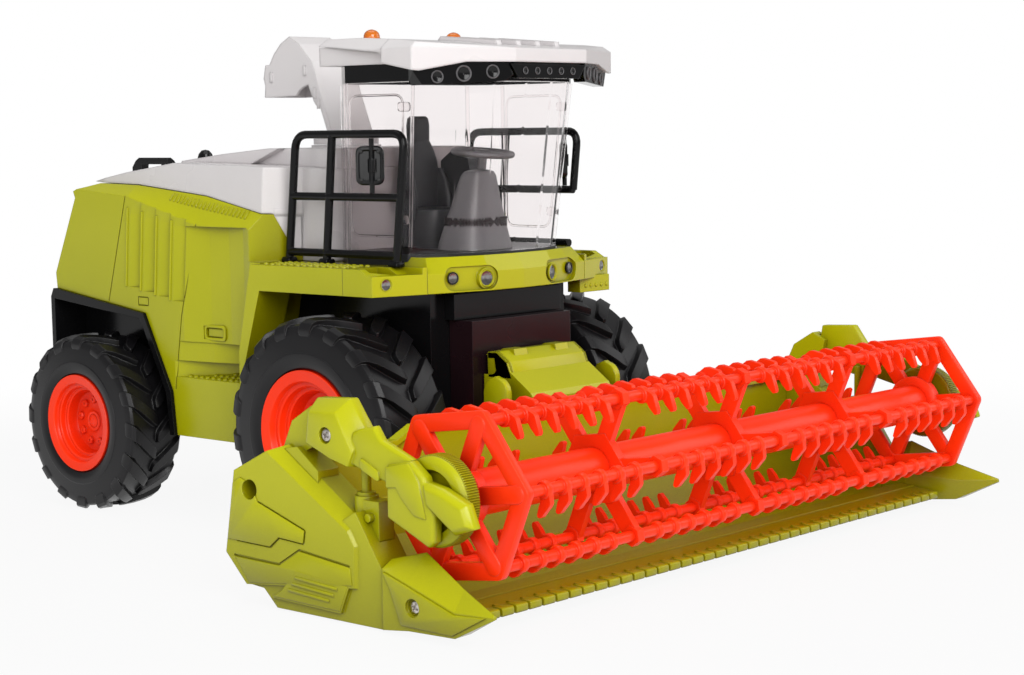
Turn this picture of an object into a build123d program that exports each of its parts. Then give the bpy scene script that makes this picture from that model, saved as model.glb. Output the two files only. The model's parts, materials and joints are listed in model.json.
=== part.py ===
from build123d import *
import os
from math import cos, pi, radians, sin, sqrt

os.makedirs("parts", exist_ok=True)

# Toy combine harvester in moulded plastic, in millimetres.
# -Y is the direction of travel, X runs across, +Z is up. The origin is on the ground,
# under the middle of the whole toy. Outlines are (y, z) pairs seen from the side, or
# (x, y) pairs seen from above.

# ---------------------------------------------------------------- driving dimensions
running_gap = 0.05  # radial clearance of a shaft that turns in its hole
seat_gap = 0.3  # clearance between pieces of one body that are dropped together
swing_gap = 0.8  # clearance beside a piece that turns

# wheels: axle place, tyre radius, rim radius, tyre width, outer face from the middle
front_axle_y = -8.3
rear_axle_y = 142.6
front_tyre_radius = 47.7
rear_tyre_radius = 40.0
front_rim_radius = 26.5
rear_rim_radius = 22.0
front_tyre_width = 38.6
rear_tyre_width = 29.8
wheel_face_x = 87.0
hub_depth = 0.52  # how deep the hub lies in its wheel, as a share of the tyre's width
axle_radius = 2.0

# body
body_half_width = 68.0
body_top_half_width = 61.5
body_rear_y = 179.1
body_floor_z = 36.5
chassis_half_width = 42.0
chassis_floor_z = 26.0
keel_half_width = 20.0
keel_floor_z = 31.0
rear_chassis_half_width = 52.0
arch_lip_x = 69.6
arch_gap = 0.05
seam_width = 0.5
seam_depth = 0.6

# platform and bumper under the cab
platform_half_width = 74.0
platform_top_z = 114.5
platform_under_z = 103.6
platform_rear_y = 36.8
cap_joint_y = -19.0
bumper_half_width = 49.3
bumper_lip_z = 118.0

# cab
cab_base_top_z = 119.0
glass_top_z = 189.0
glass_wall = 1.5
roof_under_z = 196.2
rail_x = 54.0
rail_radius = 1.7

# front housing and the header's hinge
housing_half_width = 31.0
housing_front_y = -50.0
hinge_y = -54.0
hinge_z = 73.5
hinge_radius = 1.6

# header
shield_outer_x = 166.0
shield_inner_x = 151.0
trough_wall = 2.2
trough_back_y = -80.0
trough_top_z = 58.0
knife_edge_y = -163.0
header_floor_z = 0.9

# reel
reel_y = -150.75
reel_z = 46.6
reel_half_length = 149.4
bay_count = 4
tines_per_bay = 6
tine_pitch = 9.6
tine_thickness = 2.4
bar_count = 6
bar_circle = 28.6
bar_radius = 1.6
bar_end_gap = 0.1  # left beyond a bar's end in its blind hole
reel_phase = 7.4
reel_tube_radius = 8.0
reel_frame_radius = 32.0
reel_frame_width = 5.0
reel_frame_depth = 5.0
disc_radius = 15.8
disc_thickness = 7.8
disc_outer_x = 161.0
reel_pin_radius = 2.5
arm_outer_x = 166.8

# spout
spout_axis_y = 54.0
turret_radius = 14.5
turret_z = 162.6
spout_half_width = 12.5
spout_web = 1.8
spout_cheek = 1.5


# ---------------------------------------------------------------- building blocks
def side_solid(points, x_low, x_high):
    """Solid between two planes across the toy, from a side outline of (y, z)."""
    face = make_face(Polyline(*points, close=True))
    return extrude(Plane.YZ.offset(x_low) * face, x_high - x_low)


def plan_solid(points, z_low, z_high):
    """Upright solid from an outline of (x, y)."""
    face = make_face(Polyline(*points, close=True))
    return extrude(Plane.XY.offset(z_low) * face, z_high - z_low)


def plan_loft(low_points, z_low, high_points, z_high):
    """Solid between two outlines of (x, y) at two heights."""
    low = Plane.XY.offset(z_low) * make_face(Polyline(*low_points, close=True))
    high = Plane.XY.offset(z_high) * make_face(Polyline(*high_points, close=True))
    return loft([low, high], ruled=True)


def block(x_low, x_high, y_low, y_high, z_low, z_high):
    size = Box(x_high - x_low, y_high - y_low, z_high - z_low)
    return Pos((x_low + x_high) / 2, (y_low + y_high) / 2, (z_low + z_high) / 2) * size


def rod_x(radius, x_low, x_high, y, z):
    return Pos((x_low + x_high) / 2, y, z) * Rot(0, 90, 0) * Cylinder(radius, x_high - x_low)


def rod_y(radius, x, y_low, y_high, z):
    return Pos(x, (y_low + y_high) / 2, z) * Rot(90, 0, 0) * Cylinder(radius, y_high - y_low)


def rod_z(radius, x, y, z_low, z_high):
    return Pos(x, y, (z_low + z_high) / 2) * Cylinder(radius, z_high - z_low)


def both_hands(points):
    """The outline of (x, y) for x >= 0, front to back, closed by its mirror image."""
    return points + [(-x, y) for x, y in reversed(points) if x > 0]


def other_hand(shape):
    return mirror(shape, Plane.YZ)


def section_solid(points, y_low, y_high):
    """Solid along the toy, from a cross-section of (x, z)."""
    face = make_face(Polyline(*points, close=True))
    return extrude(Plane.XZ.offset(-y_high) * face, y_high - y_low)


def upright(points, y):
    """Upright face across the toy at one y, from an outline of (x, z)."""
    return Plane.XZ.offset(-y) * make_face(Polyline(*points, close=True))


def side_face(points, x):
    """Face along the toy at one x, from an outline of (y, z)."""
    return Plane.YZ.offset(x) * make_face(Polyline(*points, close=True))


def turned(points, x, y):
    """Solid of revolution about an upright axis, from an outline of (radius, z)."""
    face = Plane.XZ * make_face(Polyline(*points, close=True))
    return Pos(x, y, 0) * revolve(face, Axis.Z)


def groove(points, x, width, depth):
    """Cutter for a moulded line on a side wall at x, along (y, z) points."""
    cutter = Part()
    side = 1 if x > 0 else -1
    for (y1, z1), (y2, z2) in zip(points, points[1:]):
        length = sqrt((y2 - y1) ** 2 + (z2 - z1) ** 2)
        ny, nz = (z1 - z2) / length * width / 2, (y2 - y1) / length * width / 2
        strip = [(y1 - ny, z1 - nz), (y2 - ny, z2 - nz), (y2 + ny, z2 + nz), (y1 + ny, z1 + nz)]
        inner, outer = sorted((x - side * depth, x + side * 0.5))
        cutter += side_solid(strip, inner, outer)
    return cutter


def save(name, shape):
    export_step(shape, f"parts/{name}.step")


# ---------------------------------------------------------------- wheels
def tyre(radius, rim_radius, width):
    """Ring about X, from 0 at the outer face to -width, at the origin."""
    depth = radius - rim_radius
    outline = [
        (-0.07 * width, rim_radius),
        (0, rim_radius + 0.30 * depth),
        (-0.03 * width, rim_radius + 0.76 * depth),
        (-0.15 * width, radius),
        (-0.85 * width, radius),
        (-0.97 * width, rim_radius + 0.76 * depth),
        (-width, rim_radius + 0.30 * depth),
        (-0.93 * width, rim_radius),
    ]
    return revolve(make_face(Polyline(*outline, close=True)), Axis.X)


def rim(radius, width):
    """Dished rim about X in steps, with a hub that is blind on its outer side."""
    seat = radius - seat_gap / 2
    outline = [
        (-0.03 * width, seat),
        (-0.02 * width, 0.82 * radius),
        (-0.12 * width, 0.77 * radius),
        (-0.14 * width, 0.72 * radius),
        (-0.24 * width, 0.68 * radius),
        (-hub_depth * width, 0.61 * radius),
        (-hub_depth * width, 0.24 * radius),
        (-(hub_depth - 0.06) * width, 0.20 * radius),
        (-(hub_depth - 0.06) * width, 0),
        (-(hub_depth + 0.03) * width, 0),
        (-(hub_depth + 0.03) * width, axle_radius + running_gap),
        (-0.92 * width, axle_radius + running_gap),
        (-0.92 * width, 0.30 * radius),
        (-(hub_depth + 0.10) * width, 0.34 * radius),
        (-(hub_depth + 0.08) * width, 0.80 * radius),
        (-0.93 * width, 0.88 * radius),
        (-0.93 * width, seat),
    ]
    return revolve(make_face(Polyline(*outline, close=True)), Axis.X)


wheels = [
    # name, axle y, tyre radius, rim radius, tyre width
    ("front", front_axle_y, front_tyre_radius, front_rim_radius, front_tyre_width),
    ("rear", rear_axle_y, rear_tyre_radius, rear_rim_radius, rear_tyre_width),
]
for name, axle_y, tyre_radius, rim_radius, tyre_width in wheels:
    place = Pos(wheel_face_x, axle_y, tyre_radius)
    left_tyre = place * tyre(tyre_radius, rim_radius, tyre_width)
    left_rim = place * rim(rim_radius, tyre_width)
    save(f"tyre_{name}_left", left_tyre)
    save(f"rim_{name}_left", left_rim)
    save(f"tyre_{name}_right", other_hand(left_tyre))
    save(f"rim_{name}_right", other_hand(left_rim))
    axle_end = wheel_face_x - (hub_depth + 0.05) * tyre_width
    save(f"{name}_axle", rod_x(axle_radius, -axle_end, axle_end, axle_y, tyre_radius))

# ---------------------------------------------------------------- chassis and axles
axle_hole = axle_radius + running_gap
chassis = side_solid(
    [
        (-37, 34),
        (-28, chassis_floor_z),
        (60, chassis_floor_z),
        (60, body_floor_z - seat_gap),
        (45.2, body_floor_z - seat_gap),
        (45.2, 77),
        (39.3, platform_under_z - seat_gap),
        (-37, platform_under_z - seat_gap),
    ],
    -chassis_half_width,
    chassis_half_width,
)
chassis += block(-keel_half_width, keel_half_width, 59, 100, keel_floor_z, body_floor_z - seat_gap)
arch_line = [(95, body_floor_z), (96.9, 56), (114.6, 89.9), (body_rear_y, 98.55)]
chassis += side_solid(
    [
        (90, body_floor_z - 1.3),
        (128, body_floor_z - 1.3),
        (133, keel_floor_z),
        (172, keel_floor_z),
        (178.5, 44),
        (181, 60),
        (181, 94),
        (180, 98.55 - seat_gap),
        (114.8, 89.9 - seat_gap),
        (97.2, 56),
        (95.4, body_floor_z - seat_gap),
        (90, body_floor_z - seat_gap),
    ],
    -rear_chassis_half_width,
    rear_chassis_half_width,
)
for _, axle_y, tyre_radius, _, _ in wheels:
    chassis += rod_x(6.5, -48 if axle_y < 0 else -56, 48 if axle_y < 0 else 56, axle_y, tyre_radius)
    chassis -= rod_x(axle_hole, -60, 60, axle_y, tyre_radius)
save("chassis_tub", chassis)

# ---------------------------------------------------------------- lime body shell
shoulder_rows = [
    # y, z of the crease on the side wall, z of the edge against the white deck
    (20, 127.5, 133.8),
    (43, 127.8, 135),
    (78.3, 129.8, 142),
    (125.3, 141.7, 146.5),
    (161.7, 144.6, 147.6),
    (185, 146, 148),
]
deck_line = [(y, top_z) for y, _, top_z in shoulder_rows[1:5]]
body_outline = [(45.5, body_floor_z)] + arch_line + [
    (179.8, 105.6),
    (163.2, 140.5),
    (164.5, 143.5),
    (161.7, 144.6),
    (152, 147.2),
] + [(y, z) for y, z in reversed(deck_line[:3])] + [
    (34, 134.2),
    (34, platform_top_z + seat_gap),
    (platform_rear_y + seat_gap, platform_top_z + seat_gap),
    (45.5, 77),
]
sections = []
w, t = body_half_width, body_top_half_width
for y, crease_z, top_z in shoulder_rows:
    sections.append(upright([(-w, 20), (-w, crease_z), (-t, top_z), (t, top_z), (w, crease_z), (w, 20)], y))
body = side_solid(body_outline, -body_half_width, body_half_width) & loft(sections, ruled=True)

# the front panel that slants in to the cab, and the deck's white corner on it
corner_z = (118, 134.3)
corner_x = (49, 57.2)
w = body_half_width
panel = [(46, 20), (46, 34), (w, 44.6), (w + 3, 44.6), (w + 3, 20)]
behind_panel = [(40, 33.2), (46.2, 33.2), (46.2, 34), (w, 44.5), (w, 46), (40, 46)]
for side in (-1, 1):
    body -= plan_solid([(side * x, y) for x, y in panel], platform_top_z + seat_gap, 170)

# each side wall steps in behind the front wheel: foot, sill step, curved panel
recess_rows = [
    # lowest z, highest z, plan of the wall left standing
    (58.7, 70, [(68, 95), (61, 70), (55.6, 54), (55, 43)]),
    (70, 78.6, [(68, 92), (65, 72), (61.6, 58), (61.2, 43)]),
    (78.6, 129.2, [(68, 88), (65.5, 72), (64.8, 60), (65.6, 50), (68, 43.5)]),
]
ledge_rise_z = 66.6  # the lowest step's sloping foot ends here
ledge_foot = [(74, 60.9), (54, ledge_rise_z), (54, 140), (74, 140)]
flute_count, flute_pitch, flute_drop, flute_width = 4, 10.15, 1.67, 9.2
flute_foot_y, flute_foot_z, flute_top_y, flute_top_z = 127.4, 101.2, 124.4, 139.4
flute_depths = [
    # share of the flute's height, depth there
    (0, 1.5),
    (0.86, 1.3),
    (1, 0.05),
]
for side in (-1, 1):
    for z_low, z_high, wall in recess_rows:
        plan = [(x, y) for x, y in wall] + [(74, wall[-1][1]), (74, wall[0][1])]
        recess = plan_solid([(side * x, y) for x, y in plan], z_low, z_high)
        if z_low < ledge_rise_z:
            recess &= section_solid([(side * x, z) for x, z in ledge_foot], 40, 100)
        body -= recess
    for i in range(flute_count):
        slope = (flute_top_y - flute_foot_y) / (flute_top_z - flute_foot_z)
        for (low_share, low_depth), (high_share, high_depth) in zip(flute_depths, flute_depths[1:]):
            ends = []
            for share, depth in ((low_share, low_depth), (high_share, high_depth)):
                z = flute_foot_z + share * (flute_top_z - flute_foot_z)
                y = flute_foot_y + (z - flute_foot_z) * slope - i * flute_pitch
                z -= i * flute_drop
                x = body_half_width - depth
                ends += [[(side * 68.3, y), (side * x, y - flute_width), (side * 68.3, y - flute_width)], z]
            body -= plan_loft(*ends)
    x = side * body_half_width
    body -= groove([(126.4, 141.8), (140.7, 94.2)], x, seam_width, seam_depth)
    body -= groove([(78.2, 130.2), (89.7, 89.5), (95.2, 57)], x, seam_width, seam_depth)
    catch = [(112.4, 93.3), (119.4, 93.3), (119.4, 96.9), (112.4, 96.9), (112.4, 93.3)]
    body -= groove(catch, x, seam_width, seam_depth)
    latch = block(64.2, 70, 63.7, 77, 80.2, 86) - block(64.2, 64.9, 65.5, 75.2, 81.4, 84.8)
    body -= latch if side > 0 else other_hand(latch)
save("body_shell", body)

# rear wheel arch: a raised trim that follows the body's cut-out and closes it behind
lip_line = [(y, z - arch_gap) for y, z in arch_line] + [(180.2, 98.4), (182.2, 94.5), (182.2, 60)]
lip_inner = [(179.5, 60), (179.5, 93.8), (116.8, 87.3), (100, 55), (98.2, body_floor_z)]
lip_line = [(y + arch_gap, z) for y, z in lip_line]
liner = side_solid(lip_line + lip_inner, -arch_lip_x, -rear_chassis_half_width - arch_gap)
save("arch_liners", liner + other_hand(liner))

# ---------------------------------------------------------------- engine deck
deck_outline = [
    (17.2, platform_top_z + seat_gap),
    (33.7, platform_top_z + seat_gap),
    (33.7, 134.5),
] + [(y, z + seat_gap) for y, z in deck_line[:3]] + [
    (152, 147.2 + seat_gap),
    (159.8, 147.9),
    (134.8, 152.1),
    (101.3, 156.4),
    (54, 155.3),
    (17.2, 153.5),
]
deck_top = both_hands([(45, 17.2), (45, 34), (60.2, 42), (60, 150), (57, 165)])
deck_low = both_hands([(47, 17.2), (47, 33.9), (64, 42.4), (63, 150), (60, 165)])
deck = side_solid(deck_outline, -body_half_width, body_half_width)
deck &= plan_loft(deck_low, 100, deck_top, 160)
for side in (-1, 1):
    corner = [
        (44, corner_z[0]),
        (corner_x[0], corner_z[0]),
        (corner_x[1], corner_z[1]),
        (corner_x[1], 137),
        (44, 137),
    ]
    corner = section_solid([(side * x, z) for x, z in corner], 33, 45)
    corner &= plan_solid([(side * x, y) for x, y in behind_panel], 110, 140)
    deck += corner
save("engine_deck", deck - body)

hatch = side_solid([(18, 150), (18, 162.2), (56, 162.4), (87, 159.9), (114, 157.0), (118, 150)], -45, 45)
hatch -= side_solid([(105, 166), (102, 156.6), (88, 156.4), (71, 161.2), (71, 166)], -37, 37)
hatch_side_recess = side_solid([(69, 150), (69, 155), (48, 162.8), (10, 163.5), (10, 150)], 41, 46)
hatch -= hatch_side_recess + other_hand(hatch_side_recess)
save("deck_hatch", hatch - deck)
bar_section = [(-44, 148), (-44, 157), (-43, 158.4), (-41, 158.4), (-40, 157), (-40, 148)]
grab_bar = section_solid(bar_section, 123, 151)
grab_bar -= side_solid([(120, 150), (120, 160.6), (128, 160), (123, 154)], -50, -30)
grab_bar -= side_solid([(154, 150), (154, 160.6), (146, 160), (151, 154)], -50, -30)
grab_bar -= side_solid([(128, 140), (130, 155.4), (144, 155.4), (146, 140)], -50, -30)
save("grab_bar", grab_bar - deck)
exhaust_profile = [(0, 148), (3.9, 148), (3.9, 157), (3.2, 159.4), (1.8, 161), (0, 161.4)]
save("exhaust_stub", turned(exhaust_profile, 0, 151.2) - deck)

# ---------------------------------------------------------------- platform and its posts
w = platform_half_width
platform = block(-w, w, cap_joint_y, platform_rear_y, platform_under_z, platform_top_z)
post = side_solid(
    [
        (31.3, platform_under_z),
        (42.6, 69),
        (42.6, 38),
        (45.2, 38),
        (45.2, 77),
        (platform_rear_y, platform_top_z),
        (31.3, platform_top_z),
    ],
    -platform_half_width,
    -56,
)
save("platform", platform + post + other_hand(post))

# ---------------------------------------------------------------- bumper
w = bumper_half_width
bumper_front = both_hands([(0, -51.2), (20, -50), (34, -46.6), (w, -42.9), (w, -19.3)])
bumper_brow = both_hands([(0, -47.6), (20, -46.4), (34, -43), (45.6, -38.4), (45.6, -19.3)])
bumper = plan_solid(bumper_front, platform_under_z, 111.6)
bumper += plan_loft(bumper_front, 111.6, bumper_brow, bumper_lip_z)
cab_floor_plan = both_hands([(0, -46.8), (18, -45.3), (34, -39.8), (46.4, -29), (49.4, 3), (39, 16.6)])
bumper -= plan_solid([(x * 1.005, y * 1.005) for x, y in cab_floor_plan], platform_top_z, 130)
face_turn = 13.6  # degrees that the bumper's wings sweep back from straight ahead
pocket_x, pocket_y, lamp_z = 28.4, -48.0, 109.0
lamps = [
    # x, front of the lens, height, radius, radius of the moulded ring round it
    (20.6, -48.6, 108.6, 3.0, 4.3),
    (36.6, -44.6, 109.4, 2.2, 0),
]
lens = Part()
for side in (-1, 1):
    pocket = extrude(SlotOverall(27, 9.8), 2.0, both=True)
    bumper -= Pos(side * pocket_x, pocket_y, lamp_z) * Rot(0, 0, side * face_turn) * Rot(90, 0, 0) * pocket
for x, y, z, radius, ring in lamps:
    for side in (-1, 1):
        if ring:
            bumper += rod_y(ring, side * x, y, -43, z)
        bumper -= rod_y(radius + arch_gap, side * x, y - 5, -43.4, z)
        lens += rod_y(radius, side * x, y + 0.4, -43.5, z)
save("bumper", bumper)
cap_lamp_x, cap_lamp_y, cap_lamp_z, cap_lamp_radius = 67.6, -37.4, 108.3, 2.4
for side in (-1, 1):
    lens += rod_y(cap_lamp_radius, side * cap_lamp_x, cap_lamp_y, -34.6, cap_lamp_z)
save("headlamps", lens)

cap_inner_x = -bumper_half_width - 0.2
cap_plan = [
    (cap_inner_x, -42.9),
    (-platform_half_width, -36),
    (-platform_half_width, -19.2),
    (cap_inner_x, -19.2),
]
cap = plan_solid(cap_plan, platform_under_z, platform_top_z)
cap_slope = side_solid([(-50, 111.8), (-34, 111.8), (-19, 120), (-50, 120)], -80, cap_inner_x - 2)
cap -= cap_slope
cap -= plan_solid([(-58, -34.4), (-70.6, -31.4), (-71.4, -23), (-58, -23)], 111.0, 125)
cap -= rod_y(cap_lamp_radius + arch_gap, -cap_lamp_x, -50, -34.5, cap_lamp_z)
caps = cap + other_hand(cap) + block(bumper_half_width + 0.4, 70, -40, -33, 97.5, platform_under_z + 1)
save("bumper_caps", caps)

# ---------------------------------------------------------------- front housing
save("housing_collar", block(-33.5, 33.5, -42.5, -37.2, 91.8, 102.4))
housing = block(-housing_half_width, housing_half_width, housing_front_y, -37.2, 30, 91.6)
for x in (-21, 0, 21):
    housing += block(x - 1.2, x + 1.2, hinge_y, housing_front_y, hinge_z - 1.2, hinge_z + 1.2)
housing += rod_x(hinge_radius, -22.2, 22.2, hinge_y, hinge_z)
save("front_housing", housing)

# ---------------------------------------------------------------- cab
save("cab_floor", plan_solid(cab_floor_plan, platform_top_z, cab_base_top_z))


def cab_shell_points(spread, inset):
    """Plan of the cab at one height: spread 0 at the sill, 1 at the top."""
    rows = [
        # x and y at the sill, x and y at the top
        (0, -46.2, 0, -54.5),
        (16, -45, 18, -52.8),
        (31, -40.2, 35, -47.5),
        (45.4, -28.6, 49.6, -36),
        (48.6, 3.2, 48.6, 3.2),
        (38.2, 16, 38.2, 16),
    ]
    points = []
    for x_low, y_low, x_high, y_high in rows:
        x = x_low + (x_high - x_low) * spread
        y = y_low + (y_high - y_low) * spread
        length = sqrt(x * x + y * y)
        points.append((x * (1 - inset / length), y * (1 - inset / length)))
    return both_hands(points)


glass = plan_loft(cab_shell_points(0, 0), cab_base_top_z, cab_shell_points(1, 0), glass_top_z)
inner_low, inner_high = cab_shell_points(0, glass_wall), cab_shell_points(1, glass_wall)
glass -= plan_loft(inner_low, cab_base_top_z, inner_high, glass_top_z)
save("cab_glass", glass)

top_frame = plan_solid(cab_shell_points(1, 0), glass_top_z, roof_under_z)
top_frame -= plan_solid(cab_shell_points(1, 3), glass_top_z, roof_under_z)
save("cab_top_frame", top_frame)

roof_plan = both_hands([(0, -68), (22, -68), (62, -48.5), (62, -31.5), (52, -28), (52, 19.5)])
roof_crown = both_hands([(0, -61), (19, -61), (52, -45), (54, -31), (46, -27), (46, 15)])
slab = [
    (19.5, 204.6),
    (9, 203.7),
    (-19, 201.1),
    (-31, roof_under_z),
    (-68, roof_under_z),
    (-68, 201.8),
    (-62, 202.6),
    (-38, 205.3),
    (-5, 207.4),
    (19.5, 207.4),
]
roof = side_solid(slab, -70, 70)
roof &= plan_solid(roof_plan, 190, 202) + plan_loft(roof_plan, 202, roof_crown, 208)
roof += block(-49.4, 49.4, -50, 17.3, roof_under_z, 204)
wing_plan = [(40, -59.2), (62, -48.5), (62, -31.5), (52, -28), (40, -28)]
wing_droop = [(40, 196.4), (62, 192.2), (62, 198), (40, 198)]
for side in (-1, 1):
    wing = section_solid([(side * x, z) for x, z in wing_droop], -70, -20)
    wing &= plan_solid([(side * x, y) for x, y in wing_plan], 190, 200)
    wing &= side_solid([(-70, 192.5), (-51, 192.5), (-31, 196.2), (-31, 198), (-70, 198)], -70, 70)
    roof += wing
roof -= plan_solid(cab_shell_points(1, 0), 180, roof_under_z)
for x in (-18, -6, 6, 18):
    roof += side_solid([(-56, 202), (-55, 205.4), (-24, 208), (-21, 205)], x - 1.5, x + 1.5)
save("roof", roof)

beacon_dome = [(0, 207.4), (4.4, 207.4), (4.4, 208.2), (4.0, 208.4), (3.5, 210.6), (2, 211.8), (0, 212.1)]
beacon = turned(beacon_dome, 25.2, 10.7)
save("beacons", beacon + other_hand(beacon))

bar_profile = [(24, roof_under_z), (60, roof_under_z), (60, 192.6), (56.5, 187.1), (25, 188.6), (22, 191)]
wing_bar = plan_solid([(21.8, -66.4), (60, -47), (57.6, -42.4), (20.2, -61)], 186, roof_under_z)
wing_bar &= section_solid(bar_profile, -70, -35)
for x, z, radius in [(51, 190.3, 2.4), (41, 191.6, 3.0), (30, 192.3, 2.6)]:
    lamp = Pos(x, -66.4 + (x - 21.8) * 0.508, z) * Rot(0, 0, 27) * Rot(90, 0, 0)
    wing_bar -= lamp * Cylinder(radius, 1.6)
front_bar = section_solid(both_hands([(0, 195.5), (23.4, 195.5), (19, 189.8), (0, 189.8)]), -66.4, -60)
for i in range(5):
    front_bar -= rod_y(1.4, (i - 2) * 7.4, -67, -65.4, 192.8)
front_bar += block(-20, 20, -65.6, -60, 195.5, roof_under_z)
save("light_bar", (front_bar + wing_bar + other_hand(wing_bar)) - roof)

# seat, console and steering wheel
seat = side_solid([(-9, cab_base_top_z), (-10, 134), (2, 136.5), (13, 134), (13, cab_base_top_z)], -11, 11)
back_half = [(10.5, 130), (11.4, 150), (9.6, 158), (6, 163)]
back_side_view = [(4, 130), (6, 166), (11.6, 166), (13.4, 130)]
seat += section_solid(both_hands(back_half), 0, 16) & side_solid(back_side_view, -12, 12)
head_front_view = [(-6.2, 160), (-6.6, 173), (-5, 175.6), (5, 175.6), (6.6, 173), (6.2, 160)]
seat += section_solid(head_front_view, 7, 11.6)
save("seat", seat)
save(
    "side_console",
    side_solid([(-14, cab_base_top_z), (-6, 157), (4, 160), (10, 156), (10, cab_base_top_z)], 15, 25),
)
pedestal_rows = [
    # z, outline there
    (cab_base_top_z, [(-17, -41), (17, -41), (14, -15), (-14, -15)]),
    (148, [(-8, -35), (8, -35), (7, -22.6), (-7, -22.6)]),
    (152.6, [(-4, -32), (4, -32), (4, -25), (-4, -25)]),
]
pedestal = Part()
for (z_low, low), (z_high, high) in zip(pedestal_rows, pedestal_rows[1:]):
    pedestal += plan_loft(low, z_low, high, z_high)
pedestal += rod_z(2.4, 0, -28.5, 151, 157.5)
save("steering_console", pedestal)
ring = [(12.0, 0), (12.6, -1.2), (13.4, -1.2), (14.0, 0), (13.4, 1.2), (12.6, 1.2)]
steering = turned(ring, 0, 0)
for turn in (90, 210, 330):
    steering += Rot(0, 0, turn) * Pos(6.4, 0, 0) * Box(12.8, 2.4, 1.6)
steering += turned([(0, -1.2), (3.2, -1.2), (3.2, 0.8), (0, 1.4)], 0, 0)
save("steering_wheel", Pos(0, -28.5, 159.2) * Rot(5, 0, 0) * steering)

# ---------------------------------------------------------------- guard rails and mirrors
rail_low_z, rail_mid_z, rail_top_z = 119.0, 142.5, 168.2
rail_posts = {
    # centre line's y at the foot and at the top bar
    "rear": (34, 28),
    "mid": (11, 6),
    "front": (-30, -36),
}
rail_edge = 0.9
rail_corner = 2.8


def post_y(post, z):
    foot_y, top_y = rail_posts[post]
    return foot_y + (top_y - foot_y) * (z - platform_top_z) / (rail_top_z - platform_top_z)


def rail_window(front, rear, z_low, z_high):
    """Outline of one opening between two posts and two bars, its upper corners cut off."""
    r, cut = rail_radius, rail_corner
    low, high = z_low + r, z_high - r
    return [
        (post_y(front, low) + r, low),
        (post_y(rear, low) - r, low),
        (post_y(rear, high - cut) - r, high - cut),
        (post_y(rear, high) - r - cut, high),
        (post_y(front, high) + r + cut, high),
        (post_y(front, high - cut) + r, high - cut),
    ]


r = rail_radius
rear_side = [(post_y("rear", z) + r, z) for z in (platform_top_z, rail_top_z - 4)]
top_corners = [(24.6, rail_top_z + r), (-32.6, rail_top_z + r)]
under_z = rail_low_z - r
rear_feet = [
    (post_y("mid", under_z) - r, under_z),
    (post_y("mid", platform_top_z) - r, platform_top_z),
    (post_y("mid", platform_top_z) + r, platform_top_z),
    (post_y("mid", under_z) + r, under_z),
    (post_y("rear", under_z) - r, under_z),
    (post_y("rear", platform_top_z) - r, platform_top_z),
]
right_outline = rear_side + top_corners + [
    (post_y("front", rail_top_z - 4) - r, rail_top_z - 4),
    (post_y("front", platform_top_z) - r, platform_top_z),
    (post_y("front", platform_top_z) + r, platform_top_z),
    (post_y("front", under_z) + r, under_z),
] + rear_feet
left_outline = rear_side + top_corners + [
    (post_y("front", rail_top_z - 4) - r, rail_top_z - 4),
    (post_y("front", rail_mid_z) - r, rail_mid_z + 1),
    (post_y("front", rail_mid_z) + 1, rail_mid_z - r),
    (post_y("mid", rail_mid_z - r) - r, rail_mid_z - r),
    (post_y("mid", rail_low_z + r) - r, rail_low_z + r),
    (-29, rail_low_z + r),
    (-30.6, rail_low_z),
    (-29, under_z),
] + rear_feet
rear_windows = [("mid", "rear", rail_low_z, rail_mid_z), ("mid", "rear", rail_mid_z, rail_top_z)]
front_windows = [("front", "mid", rail_low_z, rail_mid_z), ("front", "mid", rail_mid_z, rail_top_z)]


def guard_rail(outline, windows):
    rail = side_solid(outline, rail_x - r, rail_x + r)
    for window in windows:
        rail -= side_solid(rail_window(*window), rail_x - r - 1, rail_x + r + 1)
    faces = rail.faces().sort_by(Axis.X)
    return chamfer(faces[0].edges() + faces[-1].edges(), rail_edge)


def rail_pads(posts):
    pads = Part()
    for post in posts:
        y = rail_posts[post][0]
        pads += block(rail_x - 2.6, rail_x + 2.6, y - 2.6, y + 2.6, platform_top_z, platform_top_z + 2)
    return pads


rail = guard_rail(right_outline, rear_windows + front_windows) + rail_pads(("rear", "mid", "front"))
save("guard_rail_right", other_hand(rail))
rail = guard_rail(left_outline, rear_windows + front_windows[1:]) + rail_pads(("rear", "mid"))
save("guard_rail_left", rail)

mirror_plate = [
    (-5.75, -6),
    (-4, -8),
    (4, -8),
    (5.75, -6),
    (5.75, 6),
    (4, 8),
    (-4, 8),
    (-5.75, 6),
]


def side_mirror(y, z):
    """Stem between the rail's bars with a plate that faces forward and outward."""
    stem = block(rail_x - 1, rail_x + 1, y - 1, y + 1, rail_mid_z + r + 0.05, rail_top_z - r - 0.05)
    plate = extrude(Plane.XZ * make_face(Polyline(*mirror_plate, close=True)), 1.3, both=True)
    return stem + Pos(rail_x, y, z) * Rot(0, 0, 49) * plate


save("mirrors", side_mirror(-27.2, 155.4) + other_hand(side_mirror(-16, 155.4)))

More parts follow.
